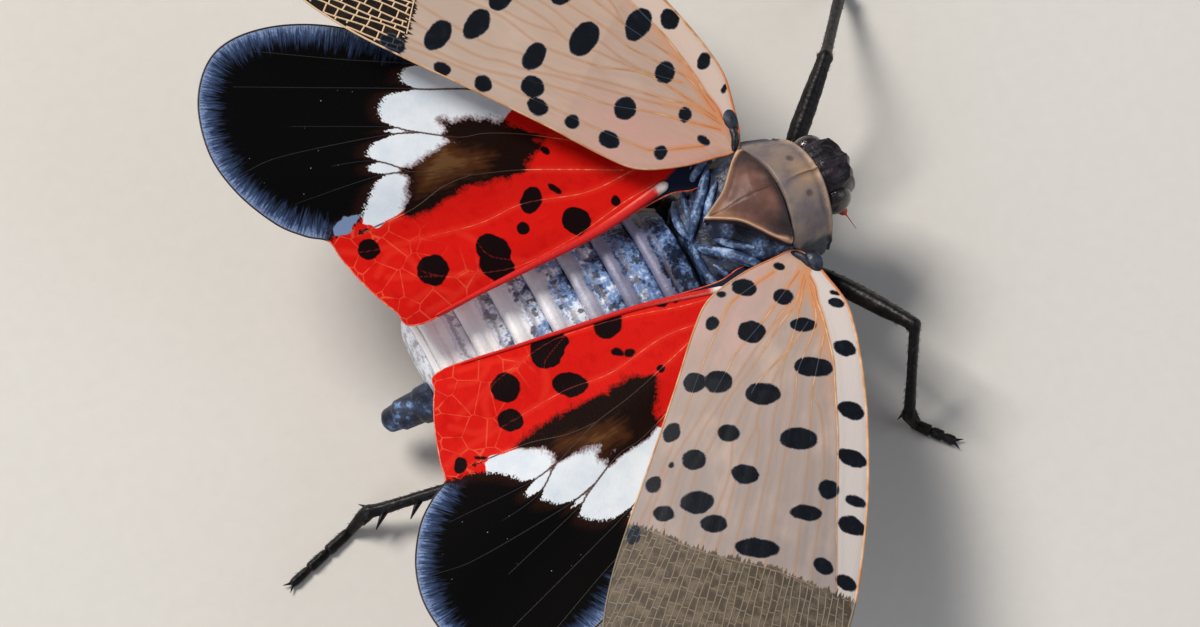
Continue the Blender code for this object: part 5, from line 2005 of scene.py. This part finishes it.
@dataclass
class Head(Assembly):
    """The head: a short lobed capsule with ridges, two eyes, two feelers and the beak."""

    SLOTS: ClassVar[tuple[str, ...]] = ("head_cuticle", "eye", "eye", "feeler", "feeler", "leg_cuticle")
    lean: float = 0.12
    centre: tuple[float, float, float] = (5.05, 0.0, 5.2)
    half: tuple[float, float, float] = (1.18, 1.22, 1.45)
    eye_centre: tuple[float, float, float] = (5.02, 1.12, 5.3)
    eye_half: tuple[float, float, float] = (0.66, 0.5, 0.74)
    beak_path: Path3D = (
        (5.15, 0.08, 3.95), (5.1, 0.06, 3.2), (4.85, 0.0, 2.4), (3.7, 0.0, 1.35), (1.6, 0.0, 1.02),
        (-0.6, 0.0, 0.95),
    )
    beak_profile: Path2D = (
        (0, 0.44), (0.08, 0.42), (0.25, 0.34), (0.5, 0.29), (0.52, 0.26), (0.78, 0.25), (0.8, 0.2), (1.0, 0.1),
    )

    def globe(self, rows: int, columns: int) -> tuple[Array, Array]:
        """Lays points round a globe.

        Args:
            rows: Rings from top to bottom.
            columns: Points in each ring.

        Returns:
            The points' directions and their angles from the top.
        """
        turn, polar = np.meshgrid(2 * np.pi * np.arange(columns) / columns, np.linspace(0.015, np.pi - 0.015, rows))
        turn, polar = turn.ravel(), polar.ravel()
        return np.stack([np.sin(polar) * np.cos(turn), np.sin(polar) * np.sin(turn), np.cos(polar)], axis=1), polar

    def build(
        self, cuticle: Material, lens: Material, skin: Material, dark: Material
    ) -> list[Piece]:
        """Builds the capsule, the eyes, the feelers and the beak.

        Args:
            cuticle: The capsule's finish.
            lens: The eyes' finish.
            skin: The feelers' finish.
            dark: The beak's finish.

        Returns:
            The pieces in the order of their nodes.
        """
        rows, columns = 120, 180
        ways, polar = self.globe(rows, columns)
        keel, face = np.abs(ways[:, 1]), ways[:, 0] > 0
        swell = 0.02 * rough(ways, 0.9, 4.0)
        swell += 0.045 * bump(polar, 0.06, 0.95) - 0.05 * bump(polar, 0.16, 0.75)
        swell += 0.06 * bump(keel, 0.035) * face - 0.05 * bump(keel, 0.08, 0.18)
        swell += 0.05 * bump(keel, 0.06, 0.62) * face
        boxy = np.sign(ways) * np.abs(ways) ** 0.82
        points = boxy * np.array(self.half) * (1 + swell)[:, None] * 0.97
        points[:, 2] = np.where(points[:, 2] > 1.0, 1.0 + (points[:, 2] - 1.0) * 0.55, points[:, 2])
        points[:, 0] += 0.1 * np.clip(-points[:, 2], 0, 1) * face
        centre = np.array(self.centre) + np.array((0, self.lean, 0))
        pieces = [self.bench.mesh("head_capsule", points + centre, ring_faces(rows, columns), cuticle)]
        pieces += [self.eye(side, lens) for side in Side] + [self.feeler(side, skin) for side in Side]
        line = smooth_path(self.beak_path, 0.1)
        share = np.linspace(0, 1, len(line))
        rings = tube_rings(line, np.interp(share, *zip(*self.beak_profile)), 28, 0.9)
        pieces.append(self.bench.mesh("beak_sheath", rings.reshape(-1, 3), ring_faces(len(line), 28), dark))
        return pieces

    def eye(self, side: Side, lens: Material) -> Piece:
        """Builds one compound eye.

        Args:
            side: Which one.
            lens: Its finish.

        Returns:
            The eye.
        """
        rows, columns = 48, 64
        x, y, z = self.eye_centre
        centre = np.array((x, y * side.value + self.lean, z))
        points = self.globe(rows, columns)[0] * np.array(self.eye_half) + centre
        return self.bench.mesh(f"eye_{side.word}_lens", points, ring_faces(rows, columns), lens)

    def feeler(self, side: Side, skin: Material) -> Piece:
        """Builds one feeler: a stalk, a pitted knob and a bristle.

        Args:
            side: Which one.
            skin: Its finish.

        Returns:
            The feeler.
        """
        out = unit(np.array((0.3, 0.85 * side.value, -0.43)))
        way = unit(np.array((0.25, 0.3 * side.value, -0.92)))
        root = np.array((5.25, 0.98 * side.value + self.lean, 4.2))
        steps = ((-0.45, 0), (0, 0), (0.1, 0), (0.3, 0), (0.45, 0.06), (0.52, 0.2), (0.53, 1.1))
        line = smooth_path([root + out * a + way * b for a, b in steps], 0.04)
        run = np.concatenate([[0], np.cumsum(np.linalg.norm(np.diff(line, axis=0), axis=1))])
        profile = (
            (0, 0.14), (0.42, 0.14), (0.5, 0.2), (0.7, 0.22), (0.88, 0.14), (0.96, 0.04), (1.1, 0.02),
            (run[-1], 0.01),
        )
        rings = tube_rings(line, np.interp(run, *zip(*profile)), 24)
        return self.bench.mesh(f"feeler_{side.word}", rings.reshape(-1, 3), ring_faces(len(line), 24), skin)

    def nodes(self) -> tuple[str, ...]:
        """A node for each piece."""
        return ("head", "eye_left", "eye_right", "antenna_left", "antenna_right", "beak")


# Hip, trochanter, knee, ankle and toe of each leg
LEGS: dict[str, Path3D] = {
    "foreleg_right": (
        (3.3, -1.2, 2.2), (3.5, -2.35, 2.8), (5.5, -6.5, 4.45), (4.35, -8.55, 0.75), (5.55, -10.05, 0.0),
    ),
    "foreleg_left": (
        (3.6, 0.95, 2.2), (4.45, 1.75, 2.8), (7.65, 4.6, 4.3), (10.3, 8.0, 0.75), (11.6, 9.35, 0.0),
    ),
    "midleg_right": (
        (1.7, -1.5, 2.0), (1.75, -2.85, 2.15), (1.4, -6.6, 3.9), (-1.3, -9.6, 0.75), (-2.6, -11.0, 0.0),
    ),
    "midleg_left": (
        (1.7, 1.5, 2.0), (1.85, 2.85, 2.15), (2.3, 6.5, 3.9), (0.9, 10.1, 0.75), (-0.1, 11.7, 0.0),
    ),
    "hindleg_right": (
        (0.45, -1.5, 2.0), (-0.2, -2.95, 2.1), (-6.6, -4.9, 3.4), (-15.8, -2.55, 0.85), (-19.2, -3.6, 0.0),
    ),
    "hindleg_left": (
        (0.45, 1.5, 2.0), (-0.2, 2.95, 2.1), (-4.2, 5.7, 3.5), (-9.2, 7.8, 0.85), (-11.2, 9.0, 0.0),
    ),
}


@dataclass
class Leg(Assembly):
    """One leg: hip, thigh, shin, three foot joints, spines, claws and short bristles."""

    SLOTS: ClassVar[tuple[str, ...]] = ("leg_cuticle",)
    name: str
    sides: int = 24
    foot_height: float = 0.16
    seed: int = 5

    def stations(self) -> tuple[Array, Array]:
        """Lays out the limb's thick and thin places.

        Returns:
            Their centres and radii, from hip to toe.
        """
        hip, trochanter, knee, ankle, toe = (np.array(joint, float) for joint in LEGS[self.name])
        foot = toe + np.array((0, 0, self.foot_height))
        heel = ankle + (foot - ankle) * 0.16
        heel[2] = self.foot_height
        # The bend of the knee lies between its two bones
        bent = knee + ((trochanter + ankle) / 2 - knee) * 0.03
        bones = (
            (hip, trochanter, ((0, 0.55), (0.8, 0.5), (1, 0.42))),
            (trochanter, knee, ((0.05, 0.27), (0.12, 0.31), (0.38, 0.37), (0.7, 0.34), (0.93, 0.27))),
            (bent, bent, ((0, 0.31),)),
            (knee, ankle, ((0.05, 0.24), (0.12, 0.21), (0.55, 0.2), (0.9, 0.23), (0.97, 0.3))),
            (heel, foot, (
                (0, 0.17), (0.06, 0.2), (0.34, 0.22), (0.38, 0.13), (0.44, 0.19), (0.66, 0.2), (0.7, 0.12),
                (0.76, 0.16), (0.93, 0.18), (1, 0.12),
            )),
        )
        rows = [(start + (end - start) * share, radius) for start, end, sizes in bones for share, radius in sizes]
        return np.array([row[0] for row in rows]), np.array([row[1] for row in rows])

    def build(self, cuticle: Material, hair: Material) -> list[Piece]:
        """Builds the limb, its spines and its bristles.

        Args:
            cuticle: The finish of the limb and its spines.
            hair: The bristles' finish.

        Returns:
            The limb, the bristles and the spines.
        """
        centres, sizes = self.stations()
        line = smooth_path(centres, 0.07)
        apart = np.linalg.norm(line[:, None, :] - centres[None, :, :], axis=2)
        place = np.interp(np.arange(len(line)), [int(k) for k in np.argmin(apart, axis=0)], np.arange(len(centres)))
        radii = np.interp(place, np.arange(len(centres)), sizes)
        rings = tube_rings(line, radii, self.sides)
        turn = 2 * np.pi * (np.arange(self.sides) + 0.5) / self.sides
        grooves = 1 + 0.05 * np.cos(4 * turn)[None, :, None] * (place > 3)[:, None, None]
        rings = line[:, None, :] + (rings - line[:, None, :]) * grooves
        points = rings.reshape(-1, 3)
        out = points - np.repeat(line, self.sides, axis=0)
        points = points + (0.02 * rough(points, 0.18, 2.0))[:, None] * out / 0.3
        points[:, 2] = np.maximum(points[:, 2], 0.0)
        limb = self.bench.mesh(f"{self.name}_limb", points, ring_faces(len(line), self.sides), cuticle)
        hairs = self.bench.scatter(f"{self.name}_bristles", *self.bristle_places(line, radii, place), hair)
        spines = self.bench.scatter(f"{self.name}_spines", *self.spine_places(), cuticle, 0.20, 8)
        return [limb, hairs, spines]

    def bristle_places(self, line: Array, radii: Array, place: Array) -> tuple[Array, ...]:
        """Spreads the short bristles over thigh, shin and foot.

        Args:
            line: Points along the limb's middle.
            radii: Its radius at each.
            place: Where each lies among the stations.

        Returns:
            Roots, ways and lengths.
        """
        draw = np.random.default_rng(self.seed)
        good = np.flatnonzero((place > 4) & (place < 22.5))
        chosen = draw.choice(good, 420)
        ahead = unit(np.gradient(line, axis=0))[chosen]
        aside = draw.normal(size=(len(chosen), 3))
        aside = unit(aside - ahead * (aside * ahead).sum(axis=1, keepdims=True))
        roots = line[chosen] + aside * (radii[chosen] * 0.92)[:, None]
        ways = aside * 0.6 + ahead
        clear = roots[:, 2] > 0.12
        return roots[clear], ways[clear], draw.uniform(0.1, 0.2, len(chosen))[clear]

    def spine_places(self) -> tuple[Array, ...]:
        """Places the claws, the ankle's spines and, on a hind leg, the shin's.

        Returns:
            Roots, ways and lengths.
        """
        knee, ankle, toe = (np.array(joint, float) for joint in LEGS[self.name][2:])
        toe[2] = self.foot_height
        ahead = toe - ankle
        ahead[2] = 0
        ahead = unit(ahead)
        aside = np.cross(ahead, (0, 0, 1))
        rows = [(toe - ahead * 0.12, ahead + aside * 0.55 * turn, 0.42) for turn in (1, -1)]
        shin = unit(ankle - knee)
        outward = unit(np.cross(shin, (0, 0, 1.0)))
        if outward[1] * knee[1] < 0:
            outward = -outward
        if "hind" in self.name:
            for share in (0.22, 0.4, 0.58, 0.76, 0.9):
                rows.append((knee + (ankle - knee) * share + outward * 0.12, outward + shin * 0.8, 0.78))
        for turn in (-1, -0.4, 0.4, 1):
            rows.append((knee + (ankle - knee) * 0.96 + outward * 0.2 * turn, outward * 0.7 * turn + shin, 0.42))
        return tuple(np.array([row[k] for row in rows], float) for k in range(3))

    def nodes(self) -> tuple[str, ...]:
        """The limb's node."""
        return (self.name,)


# Stage


@dataclass
class Studio:
    """The floor, the lamps and the camera."""

    bench: Bench
    azimuth: float = -27.4
    elevation: float = 70.0
    pixels_per_mm: float = 27.0
    distance: float = 230.0
    target: tuple[float, float, float] = (0.0, 0.0, 7.0)
    target_pixel: tuple[float, float] = (704.0, 219.0)
    frame: tuple[float, float] = (1200.0, 627.0)
    sensor: float = 36.0

    def camera(self) -> None:
        """Sets the camera where the photograph was taken from."""
        a, e = math.radians(self.azimuth), math.radians(self.elevation)
        right = np.array((math.cos(a), math.sin(a), 0.0))
        back = np.array((math.sin(a) * math.cos(e), -math.cos(a) * math.cos(e), math.sin(e)))
        up = np.cross(back, right)
        aside = (self.target_pixel[0] - self.frame[0] / 2) / self.pixels_per_mm
        rise = (self.frame[1] / 2 - self.target_pixel[1]) / self.pixels_per_mm
        place = np.array(self.target) + back * self.distance - right * aside - up * rise + self.bench.offset
        lens = bpy.data.cameras.new("camera")
        lens.sensor_width = self.sensor
        lens.lens = self.sensor * self.pixels_per_mm * self.distance / self.frame[0]
        lens.clip_start = 0.01
        lens.clip_end = 5.0
        eye = put("camera", lens)
        eye.matrix_world = Matrix([[right[k], up[k], back[k], place[k] * MM] for k in range(3)] + [[0, 0, 0, 1]])
        bpy.context.scene.camera = eye

    def floor(self) -> None:
        """Lays a plain pale floor under the feet."""
        half = 0.6
        made = bpy.data.meshes.new("floor")
        corners = [(x * half, y * half, 0) for x, y in ((-1, -1), (1, -1), (1, 1), (-1, 1))]
        made.from_pydata(corners, [], [(0, 1, 2, 3)])
        made.materials.append(StagePaper().material())
        ground = put("floor", made)

    def lamp(self, name: str, place: tuple[float, float, float], size: float, power: float, colour: str) -> None:
        """Hangs one soft square lamp that faces the model.

        Args:
            name: Its name.
            place: Where it hangs, in metres.
            size: Its side in metres.
            power: Its power in watts.
            colour: The colour of its light.
        """
        light = bpy.data.lights.new(name, "AREA")
        light.size = size
        light.energy = power
        light.color = linear(colour)[:3]
        lamp = put(name, light)
        lamp.location = place
        lamp.rotation_euler = (-Vector(place)).to_track_quat("-Z", "Y").to_euler()

    def build(self) -> None:
        """Builds the whole stage."""
        self.camera()
        self.floor()
        self.lamp("key", (-0.12, 0.24, 0.34), 0.16, 1.9, "#fffaf4")
        self.lamp("fill", (0.30, -0.20, 0.25), 0.30, 0.40, "#e8f0ff")
        self.lamp("back", (-0.30, -0.15, 0.22), 0.20, 0.35, "#eef4ff")
        world = bpy.data.worlds.new("soft_sky")
        world.use_nodes = True
        ground = world.node_tree.nodes["Background"]
        ground.inputs["Color"].default_value = linear("#e6ecf5")
        ground.inputs["Strength"].default_value = 0.20
        bpy.context.scene.world = world
        bpy.context.scene.view_settings.view_transform = "Standard"


def main() -> None:
    """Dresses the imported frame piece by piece."""
    logging.basicConfig(level=logging.INFO, format="%(relativeCreated)6d ms %(name)s: %(message)s")
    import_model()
    low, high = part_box("mesonotum")
    offset = np.array((low.x / MM, (low.y + high.y) / 2 / MM, 0.0))
    bench = Bench(offset, TubeTree(), BristleTree())
    Studio(bench).build()

    leather = {
        Side.LEFT: ForewingLeather("forewing_leather_left").material(),
        # The right forewing's copy is paler and greyer than the left's, with grey-brown net cells in place of
        # near-black ones
        Side.RIGHT: ForewingLeather(
            "forewing_leather_right", tan="#a8968d", outer="#9f918a", blush="#cb8a5a", rose="#c49f97",
            strip="#cfc4bd", vein_stain="#a88366", cell="#50463c", cell_tone="#716455",
        ).material(),
    }
    rods = {
        Side.LEFT: ForewingVein("forewing_vein_left").material(),
        # The right forewing's net veins are darker than the left's
        Side.RIGHT: ForewingVein("forewing_vein_right", net="#7e715e").material(),
    }
    films = (
        HindwingFilm("hindwing_film").material(), HindwingVein("hindwing_vein").material(),
        FoldedFilm("hindwing_fold").material(),
    )
    black = DarkCuticle("leg_chitin", "#060506", "#171314", "#1f1b1c", 0.40, 0.12, 0.28).material()
    wax = WaxyCuticle("waxy_chitin").material()
    pale_wax = WaxyCuticle("pale_wax_bars", "#2f4468", "#4d6a96", "#9db8dc", 0.8).material()
    slate = WaxyCuticle("slate_scale", "#10141f", "#27344a", "#586d90", 0.25).material()
    hair = DarkCuticle("bristle_chitin", "#1c1817", "#38302c", "#4a403a", 0.4, 0.05).material()
    head = DarkCuticle("head_chitin", "#100b11", "#2a1e28", "#3d3038", 0.34, 0.12, 0.4).material()

    jobs: list[tuple[Assembly, tuple[Material, ...]]] = []
    for side in Side:
        left = side is Side.LEFT
        fore = WingPlane(side, (2.9, 3.0, 5.9), (38.0, 14.5, 0.0) if left else (42.5, 9.0, 0.0), 0.7)
        hind = WingPlane(side, (0.7, 2.55, 5.4), (29.5, 13.0, -1.0) if left else (33.7, 9.7, 1.7))
        fore_spots = LEFT_FOREWING_SPOTS if left else RIGHT_FOREWING_SPOTS
        hind_spots = LEFT_HINDWING_SPOTS if left else RIGHT_HINDWING_SPOTS
        forewing = Forewing(bench, fore, FOREWING_OUTLINE, fore_spots, FOREWING_VEINS)
        hindwing = Hindwing(
            bench, hind, HINDWING_OUTLINE, hind_spots, HINDWING_VEINS, half_thickness=0.015, rim_radius=0.03,
            pattern=LEFT_PATTERN if left else RIGHT_PATTERN, roll_width=1.0 if left else 0.6,
        )
        jobs += [(forewing, (leather[side], rods[side])), (hindwing, films)]
    jobs += [
        (Abdomen(bench), (TergiteCuticle("tergite_chitin").material(), wax)),
        (Thorax(bench), (wax, pale_wax, slate)),
        (Shield(bench), (ShieldChitin("shield_chitin").material(),)),
        (Collar(bench), (CollarChitin("collar_chitin").material(),)),
        (Head(bench), (head, EyeLens("eye_lens").material(), FeelerSkin("feeler_skin").material(), black)),
    ]
    jobs += [(Leg(bench, name), (black, hair)) for name in LEGS]
    for part, finishes in jobs:
        pieces = part.build(*finishes)
        part.dress(pieces)
        for piece in pieces:
            LOG.info("%s: %d faces", piece.name, len(piece.data.polygons))


if __name__ == "__main__":
    main()
